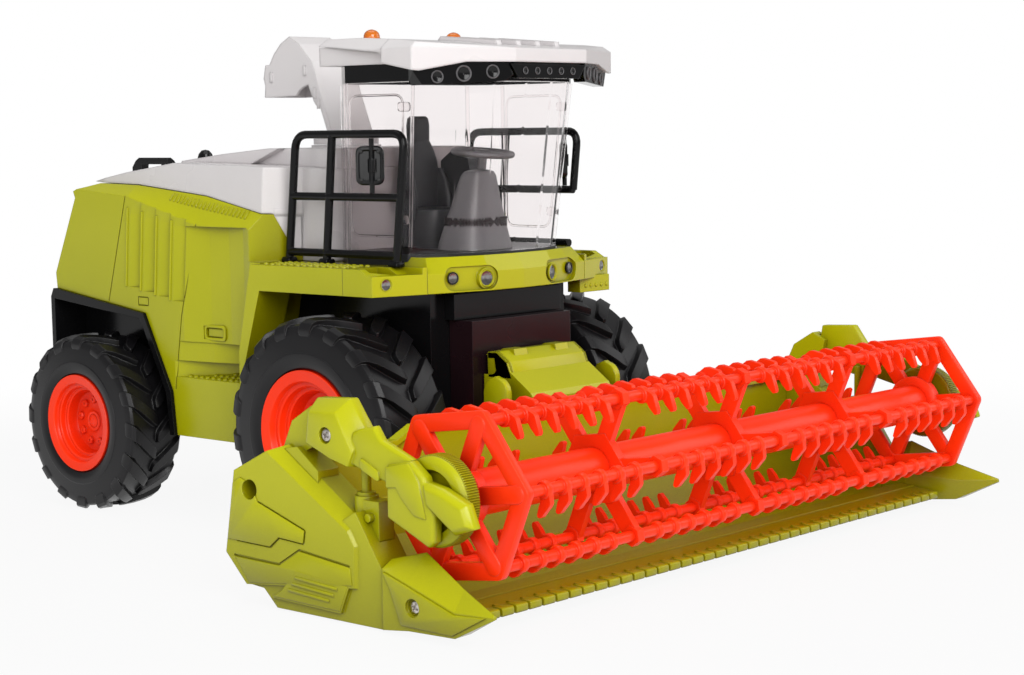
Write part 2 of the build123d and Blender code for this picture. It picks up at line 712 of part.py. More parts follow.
# ---------------------------------------------------------------- spout
spout_back = [
    (47, turret_z + 1),
    (50.1, 170),
    (57.1, 187.2),
    (59.1, 194),
    (62, 200.5),
    (70, 208.4),
    (76.2, 211.8),
    (82, 208.8),
    (86.8, 204.2),
    (89.8, 199.6),
    (92.7, 199.4),
    (94, 193.3),
    (93, 190.1),
    (93.5, 184.9),
]
spout_lip = [
    (72.6, 185.4),
    (70.9, 187.5),
    (67.8, 189.3),
    (64.6, 190.2),
    (61.1, 182.6),
    (59.6, 180.8),
    (57.3, 180.7),
    (53.1, 170),
    (50.5, turret_z + 1),
]
spout = side_solid(spout_back + spout_lip, -spout_half_width, spout_half_width)
inside = make_face(Polyline(*(spout_back + [(93.5, 120), (26, 120)]), close=True))
inside = offset(inside, -spout_web, kind=Kind.INTERSECTION)
inner_half_width = spout_half_width - spout_cheek
spout -= extrude(Plane.YZ.offset(-inner_half_width) * inside, 2 * inner_half_width)
hinge_lugs = [
    # y and z of the moulded hinge lugs on the cheeks
    (60.2, 186.4),
    (57.9, 181.6),
    (66.4, 196.5),
    (88.6, 194.0),
]
for y, z in hinge_lugs:
    for x in (-spout_half_width - 0.5, spout_half_width):
        spout += block(x, x + 0.5, y - 0.8, y + 0.8, z - 2.2, z + 2.2)
spout += rod_z(turret_radius, 0, spout_axis_y, turret_z + 1, turret_z + 3.6)
save("spout", spout)
turret = rod_z(turret_radius + 1, 0, spout_axis_y, turret_z - 4, turret_z + 0.7)
save("spout_turret", turret - hatch)

# ---------------------------------------------------------------- header
back_z = trough_top_z - 3
raised_z = trough_top_z + 1.5
step_in, step_out = 98, 108  # the back wall rises from its outer to its middle height between these
trough_inner = [
    (-141, 9.6),
    (-136, 6.4),
    (-112, 6.4),
    (-96, 9.6),
    (-85, 20),
    (trough_back_y, 34),
    (trough_back_y, back_z),
]
trough_outer = [
    (trough_back_y + trough_wall, back_z),
    (trough_back_y + trough_wall, 33),
    (-82.9, 18.4),
    (-94.8, 7.4),
    (-111.6, 3.6),
    (-137, 3.6),
    (-160.8, 5.2),
    (knife_edge_y + 2.4, 7.4),
]
trough = side_solid(trough_inner + trough_outer, -shield_inner_x, shield_inner_x)
raised = both_hands([(0, raised_z), (step_in, raised_z), (step_out, back_z), (step_out, 40), (0, 40)])
trough += section_solid(raised, trough_back_y, trough_back_y + trough_wall)
flange_line = [(shield_inner_x, back_z), (step_out, back_z), (step_in, raised_z)]
flange_line += [(-x, z) for x, z in reversed(flange_line)]
flange = flange_line + [(x, z - 2.4) for x, z in reversed(flange_line)]
trough += section_solid(flange, trough_back_y - 2.4, trough_back_y + trough_wall)
save("header_trough", trough)

tooth_pitch = 7.2
tooth_width = 4.2
tooth_count = 41
knife = block(-147, 147, -160.8, -154, 8.3, 9.5)
for i in range(tooth_count):
    x = (i - (tooth_count - 1) / 2) * tooth_pitch
    knife += block(x - tooth_width / 2, x + tooth_width / 2, knife_edge_y, -160, 8.3, 9.5)
save("knife_bar", knife)

hook_back_y = -52.2  # behind this the hooks would foul the housing as the header lifts
feeder_outline = [
    (-50.6, hinge_z),
    (hook_back_y, 77.8),
    (-58, 76),
    (-76, 63.4),
    (-77.6, 61),
    (-77.6, 24),
    (-66, 30),
    (-50.6, 40),
]
feeder = side_solid(feeder_outline, -25, 25)
feeder -= rod_x(4.0, -26, 26, hinge_y, hinge_z)
feeder -= block(-26, 26, hinge_y, -50, hinge_z - 4.0, hinge_z + 4.0)
hook = [
    (hook_back_y, 77.8),
    (-51.6, 69.6),
    (-58.6, 69.6),
    (-62, 73),
    (-60, 79.6),
    (-54, 79.6),
    (hook_back_y, 78.6),
]
for side in (-1, 1):
    feeder += side_solid(hook, side * 13 - 4, side * 13 + 4)
ear = [
    (-77.6, 44),
    (-60.5, 44),
    (-60.5, 64),
    (-62.5, 69),
    (-66.5, 70.6),
    (-70.5, 69),
    (-72.5, 64),
    (-74, 58),
    (-77.6, 54),
]
ear = side_solid(ear, 33.4, 36)
feeder += ear + other_hand(ear)
feeder -= rod_x(hinge_radius + running_gap, -26, 26, hinge_y, hinge_z)
feeder += block(-36, 36, -77.6, -70, 40, 50)
save("feeder_house", feeder)

# side shields: a thick moulded end plate with a wide bevel along its upper front edge
shield_mid_x = 161.0  # where the bevel ends inboard
shield_flat = [
    (-51.5, 18.3),
    (-57, 48.8),
    (-74.5, 57.3),
    (-115, 33.2),
    (-118.4, 28),
    (-117.9, 13.6),
    (-62.3, 7.7),
]
shield_full = [
    (-51.5, 18.3),
    (-57, 48.8),
    (-81.2, 59.8),
    (-117.4, 36.4),
    (-121.6, 30),
    (-122.2, 12.4),
    (-62.3, 7.7),
]
shield_skirt = [
    (-62.3, 7.7),
    (-70.4, 7.1),
    (-77.2, header_floor_z),
    (-131.6, header_floor_z),
    (-131.6, 20),
    (-118, 40),
]
hole_y, hole_z, hole_radius = -65.4, 42.6, 3.6
shield = loft([side_face(shield_flat, -shield_outer_x), side_face(shield_full, -shield_mid_x)], ruled=True)
shield += side_solid(shield_full, -shield_mid_x, -shield_inner_x)
skirt_x = -shield_outer_x + 1.2
shield += side_solid(shield_skirt, skirt_x, -shield_inner_x)
vent = [(-80.7, 7.3), (-89.6, 16.6), (-115.5, 13.8), (-111, 3.8), (-75.4, 4.6)]
shield += side_solid(vent, -shield_outer_x, -shield_mid_x)
flat_x = -shield_outer_x
upper_line = [(-69.5, 38.5), (-93.8, 30.9), (-93, 26.2), (-80.4, 26.9), (-75.7, 23), (-57.7, 23.4)]
lower_line = [(-55.8, 17.7), (-80, 17.2), (-90.7, 23.6), (-116, 21)]
for line in (upper_line, lower_line):
    shield -= groove(line, flat_x, 0.8, 0.7)
louvres = [((-88.8, 13.4), (-110.5, 12.1)), ((-86.9, 11.2), (-108.3, 9.9)), ((-84.8, 9.0), (-106, 7.8))]
for line in louvres:
    shield -= groove(list(line), flat_x, 1.0, 0.9)
shield -= rod_x(hole_radius, -shield_outer_x - 1, -shield_inner_x + 1, hole_y, hole_z)
save("side_shield_right", shield)
save("side_shield_left", other_hand(shield))

divider_rows = [
    # y, outline across the toy: inner foot, outer foot, outer edge, ridge, inner edge
    (-131.7, [(-151.2, 0.9), (-166, 1.2), (-166, 22.3), (-161, 25), (-151.2, 14)]),
    (-144, [(-151.2, 2), (-166, 2.6), (-166, 18.6), (-156.5, 28), (-151.2, 14)]),
    (-165.3, [(-158.4, 3.4), (-166, 3.2), (-166, 11.9), (-161, 19), (-158.4, 12)]),
    (-182.6, [(-164.4, 12), (-166, 11.8), (-166, 12.6), (-165.4, 13.4), (-164.4, 13)]),
]
divider = Part()
for (y_rear, rear), (y_front, front) in zip(divider_rows, divider_rows[1:]):
    divider += loft([upright(rear, y_rear), upright(front, y_front)], ruled=True)
screw_y, screw_z, screw_radius = -146.6, 11.0, 2.9
divider -= rod_x(screw_radius, -170, -164.8, screw_y, screw_z)
save("dividers", divider + other_hand(divider))

# reel arms, the brackets that hold them on the shields, and the rams under them
arm_root_outer = [
    (-92.5, 60.5),
    (-97.5, 74.3),
    (-106.6, 74.1),
    (-110.5, 66.5),
    (-117.5, 58.5),
    (-115.5, 55.2),
]
arm_root_inner = [
    (-92.5, 60.5),
    (-94, 75.4),
    (-104.5, 78.4),
    (-116, 74.8),
    (-118, 67.5),
    (-115.5, 55.2),
]
arm_link = [
    (-110, 66),
    (-118, 70.5),
    (-127, 68.8),
    (-131, 65),
    (-140, 60),
    (-136, 51),
    (-123.4, 54),
    (-114, 57),
]
arm_plate = [(-134.8, 57.6), (-146, 59), (-152.5, 54), (-156.5, 40), (-155, 33.5), (-150, 33), (-134.3, 40)]
arm_end_outer = [(-150, 51.6), (-156, 48.6), (-164.8, 43.6), (-164.2, 37.8), (-152.4, 43)]
arm_end_inner = [(-146, 54), (-156, 52.8), (-166, 49), (-170, 39.6), (-154, 37)]
arm_inner_x = disc_outer_x + 0.5
arm = loft([side_face(arm_root_outer, -166), side_face(arm_root_inner, -156.5)], ruled=True)
arm += side_solid(arm_link, -164.8, -arm_inner_x + 3.5)
arm += side_solid(arm_plate, -165.9, -arm_inner_x)
arm += loft([side_face(arm_end_outer, -arm_outer_x), side_face(arm_end_inner, -arm_inner_x)], ruled=True)
arm += rod_x(1.6, -166.2, -163, -127.6, 56.6)
arm_screw_y, arm_screw_z = -105.2, 65.6
arm -= rod_x(screw_radius, -170, -165.2, arm_screw_y, arm_screw_z)
arm -= groove([(-134.3, 50.5), (-139.5, 46.5), (-139.5, 41.5), (-148, 34.6)], -165.9, 0.7, 0.5)
arm -= rod_x(disc_radius + swing_gap, -arm_inner_x, -150, reel_y, reel_z)
arm -= rod_x(reel_pin_radius + running_gap, -165.2, -150, reel_y, reel_z)
save("reel_arm_right", arm)
save("reel_arm_left", other_hand(arm))

horn = [(-77.2, 50), (-77.2, 58), (-82.1, 68.2), (-92.3, 74.3), (-99, 71), (-97, 62), (-89, 58), (-89, 50)]
foot_plate = [(-75.5, 50), (-75.5, 57.5), (-87, 59.6), (-97.5, 52), (-97.5, 46)]
bracket = side_solid(horn, -160, -154)
bracket += side_solid(foot_plate, -162.5, -152.5)
bracket -= shield + arm
save("reel_brackets", bracket + other_hand(bracket))

ram_x, ram_y, ram_radius = -156.5, -115.5, 1.7
collar_radius, collar_top_z = 4.2, 45.9
ram = rod_z(ram_radius, ram_x, ram_y, collar_top_z - 4, 60) - arm
ram += rod_z(collar_radius, ram_x, ram_y, 30, collar_top_z - 1.2)
ram += rod_z(collar_radius - 0.9, ram_x, ram_y, collar_top_z - 2, collar_top_z)
ram += block(-160.2, -153, -125, ram_y, 20, 43.6)
ram += rod_x(1.5, -162.4, -158, -121.6, 38)
save("reel_rams", (ram - shield) + other_hand(ram - shield))

# ---------------------------------------------------------------- reel
at_reel = Pos(0, reel_y, reel_z)
bay = 2 * reel_half_length / bay_count
tine_outline = [
    (-2.8, 1.6),
    (0, 3.0),
    (2.7, 1.4),
    (1.2, -3.4),
    (4.3, -7.8),
    (2.2, -9.6),
    (-2.9, -4.8),
]
bar_half = reel_half_length - 1.4


def ring_points(radius, corners):
    """Corner points of a regular outline whose flats stand at that radius."""
    far = radius / cos(pi / corners)
    turns = [2 * pi * (i + 0.5) / corners for i in range(corners)]
    return [(far * cos(t), far * sin(t)) for t in turns]


bar_face = make_face(Polyline(*ring_points(bar_radius, 6), close=True))
bar = extrude(Plane.YZ.offset(-bar_half) * bar_face, 2 * bar_half)
for i in range(bay_count):
    middle = (i - (bay_count - 1) / 2) * bay
    for j in range(tines_per_bay):
        x = middle + (j - (tines_per_bay - 1) / 2) * tine_pitch
        bar += side_solid(tine_outline, x - tine_thickness / 2, x + tine_thickness / 2)
tine_bars = Part()
angles = [reel_phase + 360 / bar_count * i for i in range(bar_count)]
for angle in angles:
    tine_bars += at_reel * Rot(-angle, 0, 0) * Pos(0, -bar_circle, 0) * bar
save("reel_tine_bars", tine_bars)

tube = rod_x(reel_tube_radius, -reel_half_length, reel_half_length, 0, 0)
save("reel_tube", at_reel * tube)


def ray(angle, low, high, width, x_low, x_high):
    """Flat strap from the reel's axis outwards at one bar's angle."""
    strap = block(x_low, x_high, -high, -low, -width / 2, width / 2)
    return Rot(-angle, 0, 0) * strap


def hexagon(radius, x_low, x_high):
    corners = [(-radius * cos(radians(a)), radius * sin(radians(a))) for a in angles]
    return side_solid(corners, x_low, x_high)


tube_hole = rod_x(reel_tube_radius + running_gap, -200, 200, 0, 0)


def bar_prism(radius, angle, x_low, x_high):
    """Six-sided prism along one tine bar, turned with its ray."""
    outline = [(y - bar_circle, z) for y, z in ring_points(radius, 6)]
    return Rot(-angle, 0, 0) * side_solid(outline, x_low, x_high)


frame_in = reel_half_length - reel_frame_width
frame = hexagon(reel_frame_radius, frame_in, reel_half_length)
window_radius = reel_frame_radius - reel_frame_depth / cos(pi / 6) * 1.1
frame -= hexagon(window_radius, frame_in - 1, reel_half_length + 1)
for angle in angles:
    frame += ray(angle, reel_tube_radius, reel_frame_radius - 3.5, 5.4, frame_in, reel_half_length)
frame += rod_x(reel_tube_radius + 3.2, frame_in, reel_half_length, 0, 0)
frame -= tube_hole
spider = hexagon(14.5, -1.8, 1.8)
for angle in angles:
    spider += ray(angle, 10, bar_circle, 6.4, -1.4, 1.4)
    spider += bar_prism(3.4, angle, -1.8, 1.8)
spider -= tube_hole
for angle in angles:
    hole = bar_prism(bar_radius + running_gap, angle, -200, bar_half + bar_end_gap)
    frame -= hole
    spider -= hole
save("reel_end_frames", at_reel * (frame + other_hand(frame)))
spiders = Part()
for i in range(1, bay_count):
    spiders += Pos((i - bay_count / 2) * bay, 0, 0) * spider
save("reel_spiders", at_reel * spiders)

disc = rod_x(disc_radius, -disc_outer_x, -disc_outer_x + disc_thickness, 0, 0)
disc -= rod_x(disc_radius - 2.6, -disc_outer_x - 1, -disc_outer_x + 1.6, 0, 0)
disc += rod_x(5.5, -disc_outer_x + disc_thickness, -reel_half_length, 0, 0)
disc += rod_x(5.0, -disc_outer_x, -disc_outer_x + 2, 0, 0)
disc += rod_x(reel_pin_radius, -165, -disc_outer_x, 0, 0)
save("reel_discs", at_reel * (disc + other_hand(disc)))
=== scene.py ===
import json
from math import cos, pi, radians, sin

import bmesh
import bpy
from mathutils import Matrix, Vector


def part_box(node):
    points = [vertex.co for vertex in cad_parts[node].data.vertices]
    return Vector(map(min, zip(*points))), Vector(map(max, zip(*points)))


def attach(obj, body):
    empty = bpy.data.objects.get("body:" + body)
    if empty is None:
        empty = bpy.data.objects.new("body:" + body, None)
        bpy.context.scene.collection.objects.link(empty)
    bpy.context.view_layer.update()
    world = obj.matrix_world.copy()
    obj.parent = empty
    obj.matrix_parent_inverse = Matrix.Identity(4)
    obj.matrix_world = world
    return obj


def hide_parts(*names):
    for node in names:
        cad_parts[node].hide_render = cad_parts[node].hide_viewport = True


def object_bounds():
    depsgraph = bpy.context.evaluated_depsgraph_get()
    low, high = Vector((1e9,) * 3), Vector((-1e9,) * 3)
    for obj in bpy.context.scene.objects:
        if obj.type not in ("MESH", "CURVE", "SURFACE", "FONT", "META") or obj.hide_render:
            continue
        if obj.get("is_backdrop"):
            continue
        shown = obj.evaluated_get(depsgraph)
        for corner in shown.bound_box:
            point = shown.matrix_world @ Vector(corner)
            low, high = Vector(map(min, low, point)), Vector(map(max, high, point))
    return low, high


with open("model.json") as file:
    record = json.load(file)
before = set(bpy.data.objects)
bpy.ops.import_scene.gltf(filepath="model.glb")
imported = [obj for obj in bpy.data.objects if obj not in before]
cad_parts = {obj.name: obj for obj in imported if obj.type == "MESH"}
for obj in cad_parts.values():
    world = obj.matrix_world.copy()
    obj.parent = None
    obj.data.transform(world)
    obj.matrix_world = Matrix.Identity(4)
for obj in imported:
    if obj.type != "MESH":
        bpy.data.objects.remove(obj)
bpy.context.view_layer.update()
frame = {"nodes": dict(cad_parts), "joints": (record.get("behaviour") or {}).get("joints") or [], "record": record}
nodes = frame["nodes"]
mm = 0.001
scene = bpy.context.scene
print("toy combine harvester: frame loaded,", len(nodes), "CAD nodes")


def feed(tree, target, value):
    # an output, or a node's first one, is wired in; anything else is the value set
    if isinstance(value, bpy.types.Node):
        value = next(socket for socket in value.outputs if socket.enabled)
    if isinstance(value, bpy.types.NodeSocket):
        tree.links.new(value, target)
    else:
        target.default_value = value


def putNode(tree, kind, feeds=None, **settings):
    node = tree.nodes.new(kind if "Node" in kind else "ShaderNode" + kind)
    row, column = divmod(len(tree.nodes), 6)
    node.location = (column * 220, -row * 280)
    for name, value in settings.items():
        setattr(node, name, value)
    for label, value in (feeds or {}).items():
        feed(tree, node.inputs[label], value)
    return node


def newGroup(name, inputs, outputs):
    # shader groups put out colours, heights, normals and masks only
    group = bpy.data.node_groups.new(name, "ShaderNodeTree")
    for label, value in inputs.items():
        kind = "NodeSocketFloat" if isinstance(value, float) else "NodeSocketColor"
        group.interface.new_socket(name=label, in_out="INPUT", socket_type=kind).default_value = value
    for label, kind in outputs.items():
        group.interface.new_socket(name=label, in_out="OUTPUT", socket_type="NodeSocket" + kind)
    return group, putNode(group, "NodeGroupInput").outputs


def buildSoftEdge():
    # rounds the moulded edges in shading and marks them for rub and a painted highlight
    group, given = newGroup("softEdge", {"Radius": 0.0004, "Edge Low": 0.004, "Edge High": 0.12},
                            {"Normal": "Vector", "Edge": "Float"})
    bevel = putNode(group, "Bevel", {"Radius": given["Radius"]}, samples=4)
    plain = putNode(group, "NewGeometry").outputs["Normal"]
    dot = putNode(group, "VectorMath", {0: bevel, 1: plain}, operation="DOT_PRODUCT")
    bent = putNode(group, "Math", {0: 1.0, 1: dot}, operation="SUBTRACT")
    edge = putNode(group, "MapRange", {"Value": bent, "From Min": given["Edge Low"], "From Max": given["Edge High"]})
    putNode(group, "NodeGroupOutput", {"Normal": bevel, "Edge": edge})
    return group


def buildMouldedSkin():
    # pigment flow, mould grain, edges lightened for rub and painted highlight, and painted shade darkening the hollows
    # of a moulded skin
    group, given = newGroup("mouldedSkin", {
        "Colour": (0.5, 0.5, 0.5, 1), "Flow Colour": (0.4, 0.4, 0.4, 1), "Edge Colour": (0.6, 0.6, 0.6, 1),
        "Edge": 0.0, "Edge Strength": 0.3, "Flow Scale": 22.0, "Grain Scale": 1400.0, "Grain Height": 0.3,
        "Ripple Scale": 60.0, "Ripple Height": 0.5, "Roughness Low": 0.25, "Roughness High": 0.35,
        "Shade Colour": (0.3, 0.3, 0.3, 1), "Shade Reach": 0.02, "Shade Strength": 0.0,
    }, {"Colour": "Color", "Roughness": "Float", "Height": "Float"})

    def mixed(factor, a, b):
        return putNode(group, "Mix", {"Factor": factor, "A": a, "B": b}, data_type="RGBA")

    def times(a, b):
        return putNode(group, "Math", {0: a, 1: b}, operation="MULTIPLY")

    place = putNode(group, "TexCoord").outputs["Object"]
    flow, grain, ripple = [
        putNode(group, "TexNoise", {"Vector": place, "Scale": given[label], "Detail": detail, "Roughness": rough})
        for label, detail, rough in (("Flow Scale", 3.0, 0.55), ("Grain Scale", 2.0, 0.6), ("Ripple Scale", 1.0, 0.4))]
    flowMask = putNode(group, "MapRange", {"Value": flow, "From Min": 0.35, "From Max": 0.68})
    tinted = mixed(flowMask, given["Colour"], given["Flow Colour"])
    # painted highlight and rub: along the rounded edges the colour is lightened towards Edge Colour
    rubAndHighlight = mixed(times(given["Edge"], given["Edge Strength"]), tinted, given["Edge Colour"])
    # painted shade: where ambient occlusion finds a hollow, the colour is darkened towards Shade Colour
    hollow = putNode(group, "AmbientOcclusion", {"Distance": given["Shade Reach"]}, samples=4).outputs["AO"]
    depth = putNode(group, "MapRange", {"Value": hollow, "From Min": 1.0, "From Max": 0.25})
    withPaintedShade = mixed(times(depth, given["Shade Strength"]), rubAndHighlight, given["Shade Colour"])
    gloss = putNode(group, "MapRange", {"Value": flow, "From Min": 0.3, "From Max": 0.7,
                                        "To Min": given["Roughness Low"], "To Max": given["Roughness High"]})
    height = putNode(group, "Math", {0: ripple, 1: given["Ripple Height"], 2: times(grain, given["Grain Height"])},
                     operation="MULTIPLY_ADD")
    putNode(group, "NodeGroupOutput", {"Colour": withPaintedShade, "Roughness": gloss, "Height": height})
    return group


softEdge = buildSoftEdge()
mouldedSkin = buildMouldedSkin()
print("shader groups built")


def paint(*levels):
    # screen colour 0-255 to a linear colour
    return tuple(v / 255 / 12.92 if v < 10.3 else ((v / 255 + 0.055) / 1.055) ** 2.4 for v in levels) + (1.0,)


def plasticFinish(name, look):
    material = bpy.data.materials.new(name)
    material.use_nodes = True
    tree = material.node_tree
    shader = tree.nodes["Principled BSDF"]
    values = dict(zip(("Colour", "Flow Colour", "Edge Colour"), [paint(*colour) for colour in look["colours"]]))
    values["Roughness Low"], values["Roughness High"] = look["rough"]
    if "shade" in look:
        colour, values["Shade Reach"], values["Shade Strength"] = look["shade"]
        values["Shade Colour"] = paint(*colour)
    edge = putNode(tree, "Group", {"Radius": look.get("edgeRadius", 0.4) * mm}, node_tree=softEdge).outputs
    values.update({"Edge": edge["Edge"], **look.get("skin", {})})
    skin = putNode(tree, "Group", values, node_tree=mouldedSkin).outputs
    bump = putNode(tree, "Bump", {"Strength": look.get("bump", 0.12), "Distance": 0.2 * mm,
                                  "Height": skin["Height"], "Normal": edge["Normal"]})
    feeds = {"Base Color": skin["Colour"], "Roughness": skin["Roughness"], "Normal": bump, **look["shader"]}
    if "paintedGlow" in look:  # painted light: the skin's own colour also glows a little, so the part looks brighter than its lamps make it
        feeds.update({"Emission Color": skin["Colour"], "Emission Strength": look["paintedGlow"]})
    for label, value in feeds.items():
        feed(tree, shader.inputs[label], value)
    return material


# colours are the skin's own, what it flows into and its edges, lighter for rub and painted highlight; rough is its
# least and most;
# shade is the painted shade colour in the hollows, how far it reaches and its strength; lengths are in mm
finishes = {
    "lime_plastic": {
        "colours": ((188, 188, 10), (183, 184, 8), (200, 202, 60)), "rough": (0.2, 0.26),
        "shade": ((106, 98, 0), 0.05, 0.85), "edgeRadius": 0.6, "shader": {"Specular IOR Level": 0.4, "IOR": 1.46}},
    "white_plastic": {
        "colours": ((227, 223, 223), (223, 219, 219), (240, 236, 236)), "rough": (0.26, 0.34),
        "shade": ((178, 172, 174), 0.02, 0.6), "edgeRadius": 1.4, "shader": {"Coat Weight": 0.1, "IOR": 1.5}},
    "red_plastic": {
        "colours": ((251, 54, 10), (248, 49, 8), (255, 96, 54)), "rough": (0.3, 0.38),
        "shade": ((170, 12, 0), 0.012, 0.85), "paintedGlow": 0.14, "shader": {"Specular IOR Level": 0.35, "IOR": 1.45}},
    "black_plastic": {
        "colours": ((13, 13, 14), (16, 16, 17), (44, 44, 46)), "rough": (0.14, 0.2),
        "shader": {"Specular IOR Level": 0.2, "IOR": 1.46}},
    "gloss_black_plastic": {
        "colours": ((8, 8, 9), (11, 11, 12), (40, 40, 43)), "rough": (0.08, 0.13),
        "skin": {"Edge Strength": 0.25}, "shader": {"Specular IOR Level": 0.34, "IOR": 1.48}},
    "maroon_plastic": {
        "colours": ((26, 14, 18), (31, 16, 20), (60, 40, 46)), "rough": (0.2, 0.3),
        "skin": {"Edge Strength": 0.25}, "shader": {"Specular IOR Level": 0.3, "IOR": 1.48}},
    "dark_grey_plastic": {
        "colours": ((40, 40, 43), (36, 36, 39), (70, 70, 73)), "rough": (0.3, 0.4),
        "skin": {"Grain Height": 0.4}, "shader": {"Specular IOR Level": 0.3, "IOR": 1.47}},
    "mid_grey_plastic": {
        "colours": ((96, 94, 96), (90, 88, 90), (142, 143, 146)), "rough": (0.36, 0.46),
        "skin": {"Grain Height": 0.5}, "shader": {"IOR": 1.48}},
    "clear_plastic": {
        "colours": ((250, 247, 247), (248, 245, 245), (255, 255, 255)), "rough": (0.02, 0.05), "bump": 0.03,
        "skin": {"Edge Strength": 0.4, "Grain Height": 0.0, "Ripple Scale": 30.0},
        "shader": {"Transmission Weight": 1.0, "IOR": 1.18}},
    "lamp_clear": {
        "colours": ((150, 148, 146), (96, 95, 94), (205, 203, 200)), "rough": (0.1, 0.18),
        "skin": {"Flow Scale": 300.0}, "shader": {"Coat Weight": 0.4, "Metallic": 0.9}},
    "amber_plastic": {
        "colours": ((236, 128, 18), (226, 112, 12), (255, 176, 80)), "rough": (0.12, 0.2),
        "skin": {"Flow Scale": 200.0}, "shader": {"Transmission Weight": 0.25, "Coat Weight": 0.4}},
    "tyre_rubber": {
        "colours": ((18, 17, 19), (22, 21, 23), (56, 55, 57)), "rough": (0.28, 0.36),
        "shade": ((5, 5, 6), 0.008, 0.95), "edgeRadius": 0.45, "skin": {"Edge Strength": 0.5, "Grain Height": 0.4},
        "shader": {"Specular IOR Level": 0.33, "IOR": 1.46}},
    "axle_steel": {
        "colours": ((206, 200, 194), (190, 184, 178), (214, 215, 217)), "rough": (0.22, 0.34),
        "shader": {"Metallic": 1.0}},
}
materials = {name: plasticFinish(name, look) for name, look in finishes.items()}
lime, red, maroon, rubber, steel = "lime_plastic", "red_plastic", "maroon_plastic", "tyre_rubber", "axle_steel"
black, glossBlack, darkGrey, midGrey = "black_plastic", "gloss_black_plastic", "dark_grey_plastic", "mid_grey_plastic"
clear, lampClear, amber = "clear_plastic", "lamp_clear", "amber_plastic"
for part in frame["record"]["subparts"]:
    node = nodes[part["node"]]
    node.data.materials.clear()
    node.data.materials.append(materials[part["material_slot"]])


def buildRepeater():
    # one Geometry Nodes tree that steps a shape along, or turns it about X, again and again
    tree = bpy.data.node_groups.new("repeatShape", "GeometryNodeTree")
    tree.is_modifier = True
    for label, kind in (("Geometry", "Geometry"), ("Count", "Int"), ("Step", "Vector"), ("First Turn", "Float"),
                        ("Turn", "Float"), ("Finish", "Material")):
        tree.interface.new_socket(name=label, in_out="INPUT", socket_type="NodeSocket" + kind)
    tree.interface.new_socket(name="Geometry", in_out="OUTPUT", socket_type="NodeSocketGeometry")
    given = putNode(tree, "NodeGroupInput").outputs
    number = putNode(tree, "GeometryNodeInputIndex")
    stepped = putNode(tree, "VectorMath", {0: given["Step"], "Scale": number}, operation="SCALE")
    points = putNode(tree, "GeometryNodePoints", {"Count": given["Count"], "Position": stepped})
    angle = putNode(tree, "Math", {0: number, 1: given["Turn"], 2: given["First Turn"]}, operation="MULTIPLY_ADD")
    turn = putNode(tree, "FunctionNodeEulerToRotation", {0: putNode(tree, "CombineXYZ", {"X": angle})})
    copies = putNode(tree, "GeometryNodeInstanceOnPoints",
                     {"Points": points, "Instance": given["Geometry"], "Rotation": turn})
    solid = putNode(tree, "GeometryNodeRealizeInstances", {0: copies})
    coated = putNode(tree, "GeometryNodeSetMaterial", {"Geometry": solid, "Material": given["Finish"]})
    putNode(tree, "NodeGroupOutput", {"Geometry": coated})
    return tree


repeatShape = buildRepeater()


def at(x, y, z):
    return Matrix.Translation((x * mm, y * mm, z * mm))


def spun(degrees, axis):
    return Matrix.Rotation(radians(degrees), 4, axis)


def moved(mesh, place):
    mesh.transform(place)
    return mesh


def turns(count):
    return [2 * pi * i / count for i in range(count)]


def asMesh(bm):
    mesh = bpy.data.meshes.new("shape")
    bm.to_mesh(mesh)
    bm.free()
    return mesh


def placed(name, data):
    piece = bpy.data.objects.new(name, data)
    scene.collection.objects.link(piece)
    return piece


def settled(piece):
    # the piece's modifiers made into plain mesh, and taken off it
    bpy.context.view_layer.update()
    mesh = bpy.data.meshes.new_from_object(piece.evaluated_get(bpy.context.evaluated_depsgraph_get()))
    bpy.data.objects.remove(piece)
    return mesh


def repeated(mesh, finish, **inputs):
    piece = placed("repeating", mesh)
    modifier = piece.modifiers.new("repeat", "NODES")
    modifier.node_group = repeatShape
    inputs["Finish"] = materials[finish]
    for socket in repeatShape.interface.items_tree:
        if socket.in_out == "INPUT" and socket.name in inputs:
            modifier[socket.identifier] = inputs[socket.name]
    return settled(piece)


def rowOf(mesh, finish, count, x=0.0, y=0.0, z=0.0):
    return repeated(mesh, finish, Count=count, Step=(x * mm, y * mm, z * mm))


def ringOf(mesh, finish, count, first=0.0):
    return repeated(mesh, finish, **{"Count": count, "Turn": 2 * pi / count, "First Turn": radians(first)})


def joined(finish, *meshes, smoothTo=None):
    # smoothTo makes the faces smooth, with a sharp line wherever the shape turns by more degrees
    bm = bmesh.new()
    for mesh in meshes:
        bm.from_mesh(mesh)
    for face in bm.faces:
        face.material_index = 0
        face.smooth = smoothTo is not None
    for edge in bm.edges:
        if smoothTo:
            edge.smooth = len(edge.link_faces) == 2 and edge.calc_face_angle(0) < radians(smoothTo)
    mesh = asMesh(bm)
    mesh.materials.append(materials[finish])
    return mesh


def finishPiece(name, finish, body, *meshes, hides=(), smoothTo=35):
    # the last steps of every piece: shading, finish, place and the body that it rides on
    piece = placed(name, joined(finish, *meshes, smoothTo=smoothTo))
    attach(piece, body)
    if hides:
        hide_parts(*hides)


def mirrored(mesh):
    # the same mesh for the other hand
    bm = bmesh.new()
    bm.from_mesh(mesh)
    for vert in bm.verts:
        vert.co.x = -vert.co.x
    bmesh.ops.reverse_faces(bm, faces=bm.faces)
    return asMesh(bm)


def finishPair(name, finish, body, mesh, *others, **more):
    finishPiece(name, finish, body, mesh, mirrored(mesh), *others, **more)


